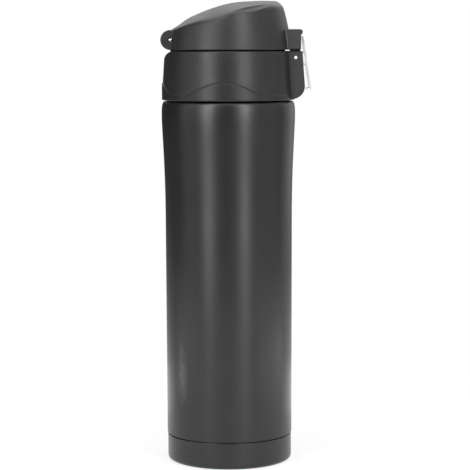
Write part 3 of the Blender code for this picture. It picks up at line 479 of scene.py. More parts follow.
def wire(name, points, thickness):
    """One unbroken round wire through the points."""
    curve = bpy.data.curves.new(name, "CURVE")
    curve.dimensions = "3D"
    curve.bevel_depth = 0.5 * thickness
    curve.bevel_resolution = 3
    curve.use_fill_caps = True
    spline = curve.splines.new("POLY")
    spline.points.add(len(points) - 1)
    for point, position in zip(spline.points, points):
        point.co = (*position, 1.0)
    drawn = place(name + "_line", curve)
    mesh = evaluated_mesh(drawn)
    bpy.data.objects.remove(drawn)
    mesh.name = name
    return place(name, mesh)


def both_sides(inner, outer):
    """The Y ranges on the left and on the right."""
    return [sorted((side * inner, side * outer)) for side in (1, -1)]


def combine(obj, other, operation):
    """Joins the other solid to the first one or cuts it away."""
    modifier = obj.modifiers.new("Combine", "BOOLEAN")
    modifier.operation = operation
    modifier.solver = "MANIFOLD"
    modifier.object = other
    apply_modifiers(obj)
    bpy.data.objects.remove(other)


def cut(obj, *others):
    for other in others:
        combine(obj, other, "DIFFERENCE")


def join(obj, *others):
    for other in others:
        combine(obj, other, "UNION")


def thread(name, root, height, low_z):
    """A ridge that runs out at both ends. With a negative height it stands inwards."""
    rings = []
    count = int(THREAD_TURNS * THREAD_STEPS)
    half = 0.5 * THREAD_WIDTH
    flat = 0.45 * half
    sunk = root - 0.25 * height
    for k in range(count + 1):
        a = tau * k / THREAD_STEPS
        fade = min(1.0, k / THREAD_FADE_STEPS, (count - k) / THREAD_FADE_STEPS)
        crest = root + height * max(fade, 0.05)
        section = rounded([(sunk, -half), (crest, -flat), (crest, flat), (sunk, half)], SMALL_EDGE, 2)
        rings.append(turned_to(a, section, low_z + THREAD_PITCH * a / tau))
    return grid(name, rings)


def grey(level, blue=0.0):
    return (level, level, level + blue)


def shader_of(name):
    material = bpy.data.materials.new(name)
    material.use_nodes = True
    return material, material.node_tree, material.node_tree.nodes["Principled BSDF"]


def feed(tree, node, **inputs):
    """Sets the node's named inputs, or links them to another node's output."""
    for name, value in inputs.items():
        socket = node.inputs[name.replace("_", " ")]
        if isinstance(value, bpy.types.NodeSocket):
            tree.links.new(value, socket)
        else:
            socket.default_value = value
    return node


def added(tree, kind, **inputs):
    return feed(tree, tree.nodes.new("ShaderNode" + kind), **inputs)


def mapped(tree, vector_type="POINT", **inputs):
    """The piece's own metres, stretched or moved."""
    node = added(tree, "Mapping", Vector=added(tree, "TexCoord").outputs["Object"])
    node.vector_type = vector_type
    return feed(tree, node, **inputs).outputs["Vector"]


def noise(tree, scale, detail=2.0, stretch=EVEN):
    vector = mapped(tree, Scale=stretch)
    return added(tree, "TexNoise", Vector=vector, Scale=scale, Detail=detail).outputs["Fac"]


def soft_spot(tree, centre, size):
    """1 in the middle of a soft spot, 0 outside it."""
    vector = mapped(tree, "TEXTURE", Location=centre, Scale=size)
    gradient = added(tree, "TexGradient", Vector=vector)
    gradient.gradient_type = "SPHERICAL"
    return gradient.outputs["Fac"]


def spread(tree, value, low, high, from_low=NOISE_LOW, from_high=NOISE_HIGH):
    """The value stretched to the range."""
    return added(tree, "MapRange", Value=value, From_Min=from_low, From_Max=from_high,
                 To_Min=low, To_Max=high).outputs["Result"]


def two_colours(tree, value, dark, light):
    node = added(tree, "ValToRGB", Fac=value)
    for i, (position, colour) in enumerate(((NOISE_LOW, dark), (NOISE_HIGH, light))):
        node.color_ramp.elements[i].position = position
        node.color_ramp.elements[i].color = (*colour, 1.0)
    return node.outputs["Color"]


def bumped(tree, value, strength, distance):
    return added(tree, "Bump", Height=value, Strength=strength, Distance=distance).outputs["Normal"]


def mixed(tree, share, first, second):
    node = tree.nodes.new("ShaderNodeMix")
    node.data_type = "RGBA"
    tree.links.new(share, node.inputs["Factor"])
    tree.links.new(first, node.inputs[6])
    tree.links.new(second, node.inputs[7])
    return node.outputs[2]


def combined(tree, operation, first, second):
    node = tree.nodes.new("ShaderNodeMath")
    node.operation = operation
    tree.links.new(first, node.inputs[0])
    tree.links.new(second, node.inputs[1])
    return node.outputs[0]


def mixed_shader(tree, share, first, second):
    node = added(tree, "MixShader", Fac=share)
    tree.links.new(first.outputs[0], node.inputs[1])
    tree.links.new(second.outputs[0], node.inputs[2])
    return node


def paint():
    """Satin black paint with a fine orange peel, and a painted highlight: a faint light streak low on the
    body.
    """
    material, tree, shader = shader_of("satin_paint")
    base = two_colours(tree, noise(tree, 60.0, 4.0), grey(0.0050, 0.0003), grey(0.0072, 0.0003))
    # Painted highlight: a lighter colour in a soft streak low on the left of the body
    highlight_colour = two_colours(tree, noise(tree, 420.0, 4.0), grey(0.035, 0.001), grey(0.085, 0.002))
    highlight_patches = spread(tree, noise(tree, 160.0, 3.0), 0.45, 1.0, 0.35, 0.65)
    painted_highlight = combined(tree, "MULTIPLY", soft_spot(tree, PAINTED_HIGHLIGHT_CENTRE, PAINTED_HIGHLIGHT_SIZE), highlight_patches)
    feed(tree, shader, Base_Color=mixed(tree, painted_highlight, base, highlight_colour), Specular_IOR_Level=0.5,
         Roughness=spread(tree, noise(tree, 45.0, 3.0), 0.305, 0.345),
         Normal=bumped(tree, noise(tree, 1900.0, 3.0), 0.12, 0.00006))
    return material


def moulding(name, dark, light, roughness, grain=0.25, specular=0.5):
    """Black moulded plastic with a fine spark-eroded grain."""
    material, tree, shader = shader_of(name)
    feed(tree, shader, Specular_IOR_Level=specular,
         Base_Color=two_colours(tree, noise(tree, 900.0, 3.0), dark, light),
         Roughness=spread(tree, noise(tree, 70.0, 3.0), roughness - 0.04, roughness + 0.04),
         Normal=bumped(tree, noise(tree, 2600.0), grain, 0.00007))
    return material


def metal(name, dark, light, roughness, stretch=EVEN, scale=900.0, strength=0.05, metallic=1.0, coat=0.0):
    """Bright metal with fine lines drawn out along one way, bare or under a clear coat."""
    material, tree, shader = shader_of(name)
    lines = noise(tree, scale, 3.0, stretch)
    feed(tree, shader, Base_Color=two_colours(tree, lines, dark, light), Metallic=metallic,
         Roughness=spread(tree, lines, roughness * 0.8, roughness * 1.25), Coat_Weight=coat,
         Normal=bumped(tree, lines, strength, 0.00003))
    return material


def silicone():
    material, tree, shader = shader_of("grey_silicone")
    colour = two_colours(tree, noise(tree, 300.0, 3.0), (0.42, 0.43, 0.44), (0.50, 0.51, 0.52))
    feed(tree, shader, Base_Color=colour, Roughness=spread(tree, noise(tree, 150.0), 0.48, 0.6),
         Subsurface_Weight=0.2, Subsurface_Radius=(0.001, 0.001, 0.001),
         Normal=bumped(tree, noise(tree, 2200.0), 0.1, 0.00003))
    return material


def sealing_glass():
    material, tree, shader = shader_of("sealing_glass")
    colour = two_colours(tree, noise(tree, 1500.0), (0.03, 0.035, 0.04), (0.09, 0.095, 0.10))
    feed(tree, shader, Base_Color=colour, Roughness=spread(tree, noise(tree, 700.0), 0.08, 0.2))
    return material


def body_side(inset, count):
    """The outer wall from the shoulder down to the waist, moved in by the inset."""
    top = SHOULDER_Z - inset
    widest = SHOULDER_R - inset
    waist = WAIST_R - inset
    round_over = curve_points((SHOULDER_R - SHOULDER_EDGE_INSET, top), (widest - SHOULDER_TOP_BEND, top),
                              (widest, WIDEST_Z + SHOULDER_SIDE_BEND), (widest, WIDEST_Z), count)
    flare = curve_points((widest, WIDEST_Z), (widest, WIDEST_Z - FLARE_TOP_BEND),
                         (waist, WAIST_Z + FLARE_LOW_BEND), (waist, WAIST_Z), 2 * count)
    return round_over + flare[1:]


def make_shell():
    edge = THIN_EDGE
    spigot_low = SHELL[0].z
    outside = [(NECK_R - SMALL_EDGE, NECK_TOP_Z), (NECK_R, NECK_TOP_Z - SMALL_EDGE)]
    outside += arc((NECK_R + NECK_FILLET, SHOULDER_Z + NECK_FILLET), NECK_FILLET, 180.0, 270.0, 7)
    outside += body_side(0.0, 16)
    for share in np.linspace(0.0, 1.0, 18)[1:-1]:
        outside.append((WAIST_R + (FOOT_R - WAIST_R) * share,
                        WAIST_Z + (SEAM_Z + edge - WAIST_Z) * share))
    outside += arc((FOOT_R - edge, SEAM_Z + edge), edge, 0.0, -90.0, 6)
    outside += [(SPIGOT_R, SEAM_Z), (SPIGOT_R, spigot_low)]
    inner = SPIGOT_R - SHELL_WALL
    inside = [(inner, spigot_low), (inner, SEAM_Z + SHELL_WALL),
              (FOOT_R - SHELL_WALL, SEAM_Z + SHELL_WALL)]
    inside += body_side(SHELL_WALL, 8)[::-1]
    inside += [(NECK_R - SHELL_WALL, SHOULDER_Z - SHELL_WALL), (NECK_R - SHELL_WALL, NECK_TOP_Z)]
    return turned("body_shell", outside + inside, steps=BODY_STEPS)


def make_liner():
    rim_top = LINER[1].z
    rim_low = rim_top - SHELL_WALL
    neck_outer = MOUTH_R + LINER_WALL
    radius = LINER[1].x
    cone_top = SHOULDER_Z - SHELL_WALL - FIT_GAP
    cone_low = cone_top - LINER_CONE
    floor_z = LINER[0].z

    def side(inset):
        neck, wide = neck_outer - inset, radius - inset
        cone = curve_points((neck, cone_top), (neck, cone_top - LINER_BEND),
                            (wide, cone_low + LINER_BEND), (wide, cone_low), 14)
        middle = (radius - LINER_CORNER, floor_z + LINER_CORNER)
        return cone + arc(middle, LINER_CORNER - inset, 0.0, -90.0, 14)

    rim = rounded([(MOUTH_R, rim_top), (NECK_R, rim_top), (NECK_R, rim_low),
                   (neck_outer, rim_low)], THIN_EDGE, closed=False)
    inside = [(0.0, floor_z + LINER_WALL)] + side(LINER_WALL)[::-1]
    return turned("bottle_liner", inside + rim + side(0.0) + [(0.0, floor_z)], steps=LINER_STEPS)


def make_base():
    flat = BASE_R - BASE_CORNER
    recess = flat - BASE_RIM_WIDTH
    wall = SHELL_WALL
    edge = FINE_EDGE
    outside = [(BASE_R - wall, BASE_TOP_Z)]
    outside += arc((BASE_R - edge, BASE_TOP_Z - edge), edge, 90.0, 0.0, 5)
    outside += arc((flat, BASE_CORNER), BASE_CORNER, 0.0, -90.0, 12)
    foot = [(flat, 0.0), (recess + BASE_RECESS, 0.0), (recess, BASE_RECESS), (0.0, BASE_RECESS)]
    outside += rounded(foot, BASE_RIM_ROUND, closed=False)[1:]
    inside = [(0.0, BASE_RECESS + wall), (recess, BASE_RECESS + wall), (recess + BASE_RECESS, wall)]
    inside += arc((flat, BASE_CORNER), BASE_CORNER - wall, -90.0, 0.0, 6)
    return turned("base_cup", inside + outside, steps=BODY_STEPS)


def make_bottom_disc():
    rim = DISC[1].x
    low = DISC[0].z + DISC_FLANGE
    dimple = DISC[1].z - SHELL_WALL
    slope = DIMPLE_R + dimple - low
    top = [(0.0, dimple + SHELL_WALL), (DIMPLE_R, dimple + SHELL_WALL), (slope, low + SHELL_WALL),
           (rim, low + SHELL_WALL), (rim, low - DISC_FLANGE)]
    under = [(rim - SHELL_WALL, low - DISC_FLANGE), (rim - SHELL_WALL, low), (slope, low),
             (DIMPLE_R, dimple), (0.0, dimple)]
    return turned("bottom_disc", top + under, FINE_EDGE, DISC_STEPS)


def make_bead():
    top, radius = BEAD[1].z, BEAD[1].x
    height = top - BEAD[0].z
    dome = [(radius * cos(a), top - height * sin(a)) for a in np.linspace(0.0, 1.57, 9)]
    return turned("seal_bead", [(0.0, top)] + dome[:-1] + [(0.0, top - height)], steps=BAR_STEPS)


def make_getter():
    middle = 0.5 * (GETTER[0].x + GETTER[1].x)
    ends = [(middle, 0.0, corner.z) for corner in GETTER]
    return bar("getter_pellet", *ends, GETTER[1].y, SMALL_EDGE)


def collar_radius(z):
    return COLLAR_TOP_R + COLLAR_TAPER * (DECK_Z - z) / (DECK_Z - COLLAR_LOW_Z)


def wave_height(angle):
    """The band's upper edge: a crest on each side and at the rear, level under the latch."""
    crest = 0.0
    for centre in WAVE_CENTRES:
        away = abs((degrees(angle) - centre + 180.0) % 360.0 - 180.0) / WAVE_HALF
        if away < 1.0:
            crest = max(crest, 0.5 + 0.5 * cos(pi * away))
    return COLLAR_LOW_Z + WAVE_LOW + WAVE_RISE * crest ** 0.8


def collar_profile(angle):
    """The section with the wave's groove and the band."""
    edge = COLLAR_TOP_EDGE
    top = DECK_Z - edge
    wave = wave_height(angle)
    step_z = wave + WAVE_STEP
    groove_top = step_z + 1.4 * WAVE_STEP
    band_top = wave - 0.3 * WAVE_STEP
    low = COLLAR_LOW_Z + COLLAR_EDGE
    profile = [(WELL_R + FINE_EDGE, DECK_Z)]
    profile += arc((COLLAR_TOP_R - edge, top), edge, 90.0, 0.0, 7)
    for share in np.linspace(0.0, 1.0, 12)[1:-1]:
        z = top + (groove_top - top) * share
        profile.append((collar_radius(z), z))
    start, end = collar_radius(step_z), BAND_R
    root = start - WAVE_GROOVE
    profile += curve_points((start, groove_top), (start, step_z + 0.5 * WAVE_STEP),
                            (root, step_z + 0.9 * WAVE_STEP), (root, step_z), 6)
    profile += curve_points((root, step_z), (root, step_z - 0.6 * WAVE_STEP),
                            (end, wave + 0.7 * WAVE_STEP), (end, band_top), 8)[1:]
    for share in np.linspace(0.0, 1.0, 5)[1:-1]:
        profile.append((BAND_R, band_top + (low - band_top) * share))
    profile += arc((BAND_R - COLLAR_EDGE, low), COLLAR_EDGE, 0.0, -90.0, 5)
    profile += [(BAND_R - COLLAR_WALL, COLLAR_LOW_Z),
                (collar_radius(DECK_LOW_Z) - COLLAR_WALL, DECK_LOW_Z),
                (WELL_R, DECK_LOW_Z), (WELL_R, DECK_Z - FINE_EDGE)]
    return profile


def housing_outline():
    """Side view of the latch housing."""
    back = COLLAR_TOP_R - 2.0 * COLLAR_WALL
    top = DECK_Z - HOUSING_DROP
    low = COLLAR_LOW_Z + COLLAR_EDGE
    corner = arc((HOUSING_LOW_X - HOUSING_CORNER, low + HOUSING_CORNER), HOUSING_CORNER, 0.0, -90.0, 14)
    shoulder = arc((HOUSING_TOP_X - HOUSING_ROUND, top - HOUSING_ROUND), HOUSING_ROUND, 90.0, 5.0, 5)
    return [(back, top)] + shoulder + corner + [(back, low)]


def barrel_outline():
    foot_z = DECK_Z - 0.5 * DECK_THICKNESS
    outline = arc((HINGE_X, HINGE_Z), BARREL_R, -30.0, 265.0, 49)
    return outline + [(HINGE_X, foot_z), (HINGE_X + BARREL_FOOT, foot_z)]


def relief_cutter():
    """Rounds the collar's rear top edge, where the lid's knuckles turn past it."""
    outer = -collar_radius(DECK_Z - RELIEF_R)
    middle = (outer + RELIEF_R, DECK_Z - RELIEF_R)
    rear = outer - RELIEF_R
    above = DECK_Z + CUT_OVER
    outline = arc(middle, RELIEF_R, 90.0, 180.0, 19)
    outline += [(rear, middle[1]), (rear, above), (middle[0], above)]
    return prism("relief", outline, -COLLAR_TOP_R, COLLAR_TOP_R)


def seam_lip():
    """A low lip on the collar's deck, open at the rear for the hinge."""
    low, high = DECK_Z - 0.5 * DECK_THICKNESS, DECK_Z + SEAM_LIP_RISE
    half = 0.5 * SEAM_LIP_WALL
    section = rectangle(SEAM_LIP_R - half, SEAM_LIP_R + half, low, high)
    lip = turned("seam_lip", section, SMALL_EDGE, FINE_STEPS)
    width = BLOCK_HALF + SIDE_GAP
    cut(lip, block("gate", (2.0 * HINGE_X, 0.0), (-width, width), (low - CUT_OVER, high + CUT_OVER)))
    return lip


def make_collar():
    collar = swept("collar_skin", collar_profile, FINE_STEPS)
    width = LATCH_HALF
    join(collar, prism("housing", housing_outline(), -width, width, THIN_EDGE))
    open_z = COLLAR_LOW_Z - CUT_OVER
    skirt = BAND_R - COLLAR_WALL
    inside = [(0.0, DECK_LOW_Z), (collar_radius(DECK_LOW_Z) - COLLAR_WALL, DECK_LOW_Z),
              (skirt, COLLAR_LOW_Z), (skirt, open_z), (0.0, open_z)]
    cut(collar, turned("inside", inside, steps=FINE_STEPS))
    channel = width - CHEEK
    cut(collar, block("channel", (CHANNEL_X, lever_face_x(CHANNEL_FLOOR_Z)), (-channel, channel),
                      (CHANNEL_FLOOR_Z, DECK_Z + CUT_OVER)))
    rebate = RIB_HALF + FIT_GAP
    cut(collar, block("rebate", (RIB_X - FIT_GAP, CHANNEL_X + CUT_OVER), (-rebate, rebate),
                      (RIB_LOW_Z - FIT_GAP, DECK_Z + CUT_OVER)))
    join(collar, bar("stud", (CHANNEL_X - STUD_ROOT, 0.0, LEVER_COIL_Z),
                     (CHANNEL_X + STUD_LENGTH, 0.0, LEVER_COIL_Z), STUD_R, FINE_EDGE))
    join(collar, seam_lip())
    cut(collar, relief_cutter())
    for y_range in both_sides(BARREL_INNER_Y, BARREL_OUTER_Y):
        join(collar, prism("barrel", barrel_outline(), *y_range, FINE_EDGE))
    cut(collar, across("bore", HINGE_X, HINGE_Z, HINGE_PIN_R + FIT_GAP, LUG_OUTER_Y),
        across("bore", LATCH_X, LATCH_Z, LATCH_PIN_R + PIN_GAP, width + CUT_OVER))
    return collar


def make_sleeve():
    top, flange, low = SLEEVE[1].z, SLEEVE[1].x, SLEEVE[0].z
    outer = SLEEVE_BORE + SLEEVE_WALL
    web_low, web_top = MOUTH_SEAL[1].z + FIT_GAP, SPOUT_SEAL[0].z - FIT_GAP
    web = -SPOUT_SEAL[0].y - SEAL_WIDTH
    profile = [(WELL_R, top), (flange, top), (flange, top - SLEEVE_FLANGE),
               (outer, top - SLEEVE_FLANGE), (outer, low), (SLEEVE_BORE, low), (SLEEVE_BORE, web_low),
               (web, web_low), (web, web_top), (WELL_R, web_top)]
    return turned("sleeve_ring", profile, FINE_EDGE)


def make_spout():
    flange_radius = SPOUT[1].x
    low_z, lip_z = SPOUT[0].z, SPOUT[1].z
    tube = SPOUT_SEAL[1].x - SEAL_WIDTH - FIT_GAP
    flange_z = SPOUT_SEAL[1].z + FIT_GAP
    flange_top = flange_z + SPOUT_FLANGE
    floor_z = flange_top + 0.5 * SPOUT_WALL
    floor_low = floor_z - SPOUT_WALL
    foot = flange_radius - BOWL_STEP
    top = foot - BOWL_TAPER
    lip = 0.5 * SPOUT_WALL
    throat = top - SPOUT_WALL - FIT_GAP - THROAT_INSET
    outside = arc((top - lip, lip_z - lip), lip, 90.0, 0.0, 7)
    outside += [(foot, flange_top), (flange_radius, flange_top), (flange_radius, flange_z),
                (tube, flange_z), (tube, low_z)]
    inner = tube - SPOUT_WALL
    inside = [(inner, low_z), (inner, floor_low), (throat, floor_low), (throat, floor_z),
              (foot - SPOUT_WALL, floor_z)]
    inside += arc((top - lip, lip_z - lip), lip, 180.0, 100.0, 6)
    return turned("drink_spout", outside + inside, SOFT_EDGE)


def make_seal(name, box):
    """A silicone ring with a rounded six-sided section."""
    outer, low, high = box[1].x, box[0].z, box[1].z
    inner = SPOUT_SEAL[1].x - SEAL_WIDTH
    middle = 0.5 * (low + high)
    wide = 0.25 * (high - low)
    profile = [(inner + wide, high), (outer - wide, high), (outer, middle), (outer - wide, low),
               (inner + wide, low), (inner, middle)]
    return turned(name, profile, SOFT_EDGE)


def coil_points(radius, turns, start, end, points_per_turn=48):
    """Points as (along the coil's axis, and two across it)."""
    count = int(turns * points_per_turn)
    points = []
    for k in range(count + 1):
        a = tau * turns * k / count
        points.append((start + (end - start) * k / count, radius * cos(a), radius * sin(a)))
    return points


def make_hinge_coil():
    """The lid's spring, with a leg to the collar and one to the lid."""
    radius = HINGE_WIND_R
    reach = BARREL_INNER_Y - HINGE_WIND_GAP - 0.5 * HINGE_WIRE
    winding = coil_points(radius, HINGE_TURNS, -reach, reach)
    points = [(HINGE_X + radius, -reach, HINGE_COIL[0].z + HINGE_LEG_GAP)]
    points += [(HINGE_X + x, y, HINGE_Z + z) for y, x, z in winding]
    points += [(HINGE_COIL[1].x - HINGE_LEG_GAP, reach, points[-1][2])]
    return wire("hinge_coil", points, HINGE_WIRE)


def make_lever_coil():
    """The lever's spring, with a leg up to the lever behind its ear."""
    end = HOUSING_TOP_X + LEVER_WIND_OVER
    winding = coil_points(LEVER_WIND_R, LEVER_TURNS, LEVER_COIL[0].x + FIT_GAP, end)
    points = [(x, y, LEVER_COIL_Z + z) for x, y, z in winding]
    leg_z = LATCH_Z - LEVER_LEG_DROP
    for x in (end, lever_face_x(leg_z) - LEVER_THICKNESS - LEVER_WIRE):
        points.append((x, LEVER_WIND_R, leg_z))
    return wire("lever_coil", points, LEVER_WIRE)


def lever_face_x(z):
    """The lever's outer face, which leans away from the housing downwards."""
    return LEVER[1].x - LEVER_LEAN * (z - LEVER_LOW_Z)


def make_lever():
    low, top = LEVER_LOW_Z, LEVER_TOP_Z
    foot_top = low + LEVER_THICKNESS
    hook_low = top - HOOK_HEIGHT
    back = lever_face_x(low) - FOOT_LENGTH
    inner_low = lever_face_x(low) - LEVER_THICKNESS
    outline = [(lever_face_x(top), top), (lever_face_x(low), low), (inner_low, low),
               (lever_face_x(hook_low) - LEVER_THICKNESS, hook_low), (HOOK_X, hook_low), (HOOK_X, top)]
    half = LEVER_HALF
    lever = prism("lever_plate", rounded(outline, FINE_EDGE), -half, half, LEVER_EDGE)
    lap = inner_low + FOOT_LAP
    foot = rounded(rectangle(back, lap, low, foot_top), SMALL_EDGE)
    join(lever, prism("foot", foot, EAR_INSET - half, half - EAR_INSET, TINY_EDGE))
    high, waist = LATCH_Z + EAR_RISE, LATCH_Z - EAR_DROP
    ear = arc((LATCH_X, LATCH_Z), EAR_R, 100.0, 260.0, 17)
    ear += [(lever_face_x(z) - EAR_LAP, z) for z in (waist, high)]
    for y_range in both_sides(half - EAR_THICKNESS, half - EAR_INSET):
        join(lever, prism("ear", ear, *y_range, SMALL_EDGE))
    cut(lever, across("bore", LATCH_X, LATCH_Z, LATCH_PIN_R + FIT_GAP, half + CUT_OVER))
    return lever


def smooth_line(points, x):
    """Heights on a smooth line through (place, height) points."""
    xs, zs = np.array(points).T
    slopes = np.gradient(zs, xs)
    x = np.clip(x, xs[0], xs[-1])
    i = np.clip(np.searchsorted(xs, x) - 1, 0, len(xs) - 2)
    step = xs[i + 1] - xs[i]
    t = (x - xs[i]) / step
    rise = (3.0 - 2.0 * t) * t * t
    return (zs[i] + (zs[i + 1] - zs[i]) * rise + t * (1.0 - t) ** 2 * step * slopes[i]
            - t * t * (1.0 - t) * step * slopes[i + 1])


CREST = smooth_line(LID_RIDGE, np.linspace(0.0, 1.0, 400)).max()
LID_HEIGHT = (COVER[1].z - LID_Z) / CREST - LID_TOP_GAP


def lid_wall_radius(z):
    h = z - LID_Z
    return LID_R - LID_DRAFT * h - 0.5 * h * h / LID_BULGE_R


LID_FRONT_X = lid_wall_radius(LID_Z + LID_RIM[-1][1] * LID_HEIGHT)


def lid_line_z(line, x):
    """Height of the lid's rim or ridge line."""
    return LID_Z + LID_HEIGHT * smooth_line(line, (x - HINGE_X) / (LID_FRONT_X - HINGE_X))


def lid_rim_radius(angles):
    """Where the wall meets the rim, found step by step."""
    radius = np.full_like(angles, LID_R)
    for _ in range(20):
        radius = lid_wall_radius(lid_line_z(LID_RIM, radius * np.cos(angles)))
    return radius


def eased(value):
    t = np.clip(value, 0.0, 1.0)
    return t * t * (3.0 - 2.0 * t)


OUTLINE_ANGLES = np.linspace(pi, 0.0, 361)
OUTLINE_R = lid_rim_radius(OUTLINE_ANGLES)
OUTLINE_X = OUTLINE_R * np.cos(OUTLINE_ANGLES)
OUTLINE_Y = OUTLINE_R * np.sin(OUTLINE_ANGLES)


def lid_top_z(x, y):
    """The crowned top, with the low step beside the front half of its rim."""
    half = np.maximum(np.interp(x, OUTLINE_X, OUTLINE_Y), 1e-5)
    side = np.clip(np.abs(y) / half, 0.0, 1.0)
    rim = lid_line_z(LID_RIM, x)
    crown = rim + (lid_line_z(LID_RIDGE, x) - rim) * (1.0 - side ** 2)
    along = np.clip((x - STEP_FROM_X) / (STEP_TO_X - STEP_FROM_X), 0.0, 1.0)
    rise = STEP_RISE * eased(along / STEP_IN_SHARE) * eased((1.0 - along) / STEP_OUT_SHARE)
    shelf = SHELF_WIDTH * eased((along - SHELF_FROM_SHARE) / SHELF_RUN_SHARE)
    inwards = (1.0 - side) * half
    return crown + rise * eased((inwards - shelf) / STEP_RUN) * side ** 4


def lid_dome(name, inset, low_z, steps, wall_rows):
    """The lid's rounded form as a closed solid, moved in by the inset."""
    angles = round_angles(steps)
    rim_r = lid_rim_radius(angles)
    rim_x = rim_r * np.cos(angles)
    rim_z = lid_line_z(LID_RIM, rim_x)
    crisp = eased((rim_x - STEP_FROM_X) / CRISP_IN) * eased((STEP_TO_X - rim_x) / CRISP_OUT)
    front = np.clip(np.cos(angles), 0.0, 1.0) ** 6
    soft = RIM_ROUND * (1.0 - STEP_CRISP * crisp) + FRONT_ROUND * front
    rings = []

    def add(radius, z):
        rings.append(np.stack([radius * np.cos(angles), radius * np.sin(angles), z], axis=1))

    def top_at(radius):
        return lid_top_z(radius * np.cos(angles), radius * np.sin(angles))

    if inset:
        add(lid_wall_radius(np.full_like(angles, LID_Z)) - inset, np.full_like(angles, low_z))
    else:
        for turn in np.radians(np.linspace(0.0, 90.0, 6)):
            z = np.full_like(angles, LID_LOW_Z + LID_EDGE * (1.0 - cos(turn)))
            add(lid_wall_radius(z) - LID_EDGE * (1.0 - sin(turn)), z)
    wall_low = LID_Z if inset else LID_LOW_Z + LID_EDGE
    wall_z = rim_z - soft
    for share in np.linspace(0.0, 1.0, wall_rows)[1:]:
        z = wall_low + share * (wall_z - wall_low)
        add(lid_wall_radius(z) - inset, z - inset * share)
    wall_top = lid_wall_radius(wall_z)
    top_start = rim_r - soft
    for t in np.linspace(0.0, 1.0, 7)[1:]:
        radius = (1 - t) ** 2 * wall_top + 2 * t * (1 - t) * rim_r + t * t * top_start
        z = (1 - t) ** 2 * wall_z + 2 * t * (1 - t) * rim_z + t * t * top_at(top_start)
        add(radius - inset, z - inset)
    for share in np.concatenate([np.linspace(1.0, TOP_FINE_SHARE, 21)[1:],
                                 np.linspace(TOP_FINE_SHARE, TOP_LAST_SHARE, 20)[1:]]):
        radius = top_start * share
        add(radius * (1.0 - inset / LID_R), top_at(radius) - inset)
    bm = bmesh.new()
    rows = points_of(bm, rings)
    skin(bm, rows)
    peak = bm.verts.new((0.0, 0.0, float(lid_top_z(np.zeros(1), np.zeros(1))[0]) - inset))
    for k in range(steps):
        bm.faces.new((rows[-1][k], rows[-1][(k + 1) % steps], peak))
    bm.faces.new(rows[0])
    return from_bmesh(name, bm)


def nose_outline():
    """Side view of the lid's nose, whose lip overhangs the lever's upper end."""
    back = lid_wall_radius(NOSE_LOW_Z) - 2.5 * LID_WALL
    lip_x = NOSE_X + NOSE_LIP_REACH
    lip_low = NOSE_TOP_Z - NOSE_LIP_HEIGHT
    lip = arc((lip_x - NOSE_LIP_ROUND, NOSE_TOP_Z - NOSE_LIP_ROUND), NOSE_LIP_ROUND, 90.0, -30.0, 12)
    under = [(NOSE_X, lip_low), (NOSE_X, NOSE_LOW_Z + FINE_EDGE), (NOSE_X - FINE_EDGE, NOSE_LOW_Z)]
    return [(back, NOSE_TOP_Z)] + lip + under + [(back, NOSE_LOW_Z)]


def nose_half(z):
    """The nose narrows a little upwards."""
    return NOSE_HALF - NOSE_TAPER * (z - NOSE_LOW_Z) / (NOSE_TOP_Z - NOSE_LOW_Z)


def make_nose():
    nose = prism("nose", nose_outline(), -NOSE_HALF, NOSE_HALF, SOFT_EDGE)
    for vert in nose.data.vertices:
        vert.co.y *= nose_half(vert.co.z) / NOSE_HALF
    return nose


def nose_bevel(side):
    """A narrow bevel where the nose's side meets the lid's wall."""
    rings = []
    rise = 0.25 * NOSE_BEVEL
    for z in np.linspace(NOSE_LOW_Z + FINE_EDGE, NOSE_TOP_Z - SOFT_EDGE, 16):
        y = nose_half(z)
        x = sqrt(lid_wall_radius(z) ** 2 - y ** 2)
        section = [(x - NOSE_BEVEL, y - rise), (x + NOSE_BEVEL, y - rise), (x + NOSE_BEVEL, y),
                   (x - NOSE_BEVEL, y + 2.0 * rise)]
        rings.append([(px, side * py, z) for px, py in section])
    return grid(f"nose_bevel_{side}", rings)


def make_lid():
    lid = lid_dome("lid_skin", 0.0, LID_Z, FINE_STEPS, 16)
    above = COVER[1].z + CUT_OVER
    below = LID_Z - CUT_OVER
    behind = 2.0 * HINGE_X
    cut(lid, block("rear", (behind, HINGE_X + REAR_TRIM), (-LID_R, LID_R), (below, above)))
    disc = arc((HINGE_X, HINGE_Z), KNUCKLE_R, 0.0, 354.0, 60)
    for y_range in both_sides(LUG_INNER_Y - CUT_OVER, LUG_OUTER_Y - BOX_GAP):
        join(lid, prism("lug", disc, *y_range, SOFT_EDGE))
    for y_range in both_sides(LUG_OUTER_Y, LID_R):
        cut(lid, block("side", (behind, HINGE_X + SIDE_TRIM), y_range, (below, above)))
    join(lid, make_nose(), nose_bevel(1), nose_bevel(-1))
    join(lid, block("rib", (RIB_X, NOSE_X - RIB_BACK), (-RIB_HALF, RIB_HALF),
                    (RIB_LOW_Z, NOSE_LOW_Z + LID_WALL)))
    hollow = lid_dome("hollow", LID_WALL, below, FINE_STEPS // 2, 8)
    cut(hollow, block("hinge_block", (behind, BLOCK_X), (-BLOCK_HALF, BLOCK_HALF),
                      (below - CUT_OVER, above)))
    cut(lid, hollow)
    pocket_low = LEVER_TOP_Z - HOOK_HEIGHT - FIT_GAP
    pocket = LEVER_HALF + SIDE_GAP
    cut(lid, block("pocket", (HOOK_X - FIT_GAP, NOSE_X + NOSE_LIP_REACH + CUT_OVER), (-pocket, pocket),
                   (pocket_low, NOSE_TOP_Z - NOSE_LIP_HEIGHT)))
    notch = arc((HINGE_X, HINGE_Z), NOTCH_R, 90.0, 0.0, 25)
    rear = HINGE_X - 2.0 * NOTCH_R
    notch += [(HINGE_X + NOTCH_R, below), (rear, below), (rear, HINGE_Z + NOTCH_R)]
    cut(lid, prism("notch", notch, -LUG_INNER_Y, LUG_INNER_Y))
    cut(lid, across("bore", HINGE_X, HINGE_Z, HINGE_PIN_R + PIN_GAP, LUG_OUTER_Y + CUT_OVER))
    return lid


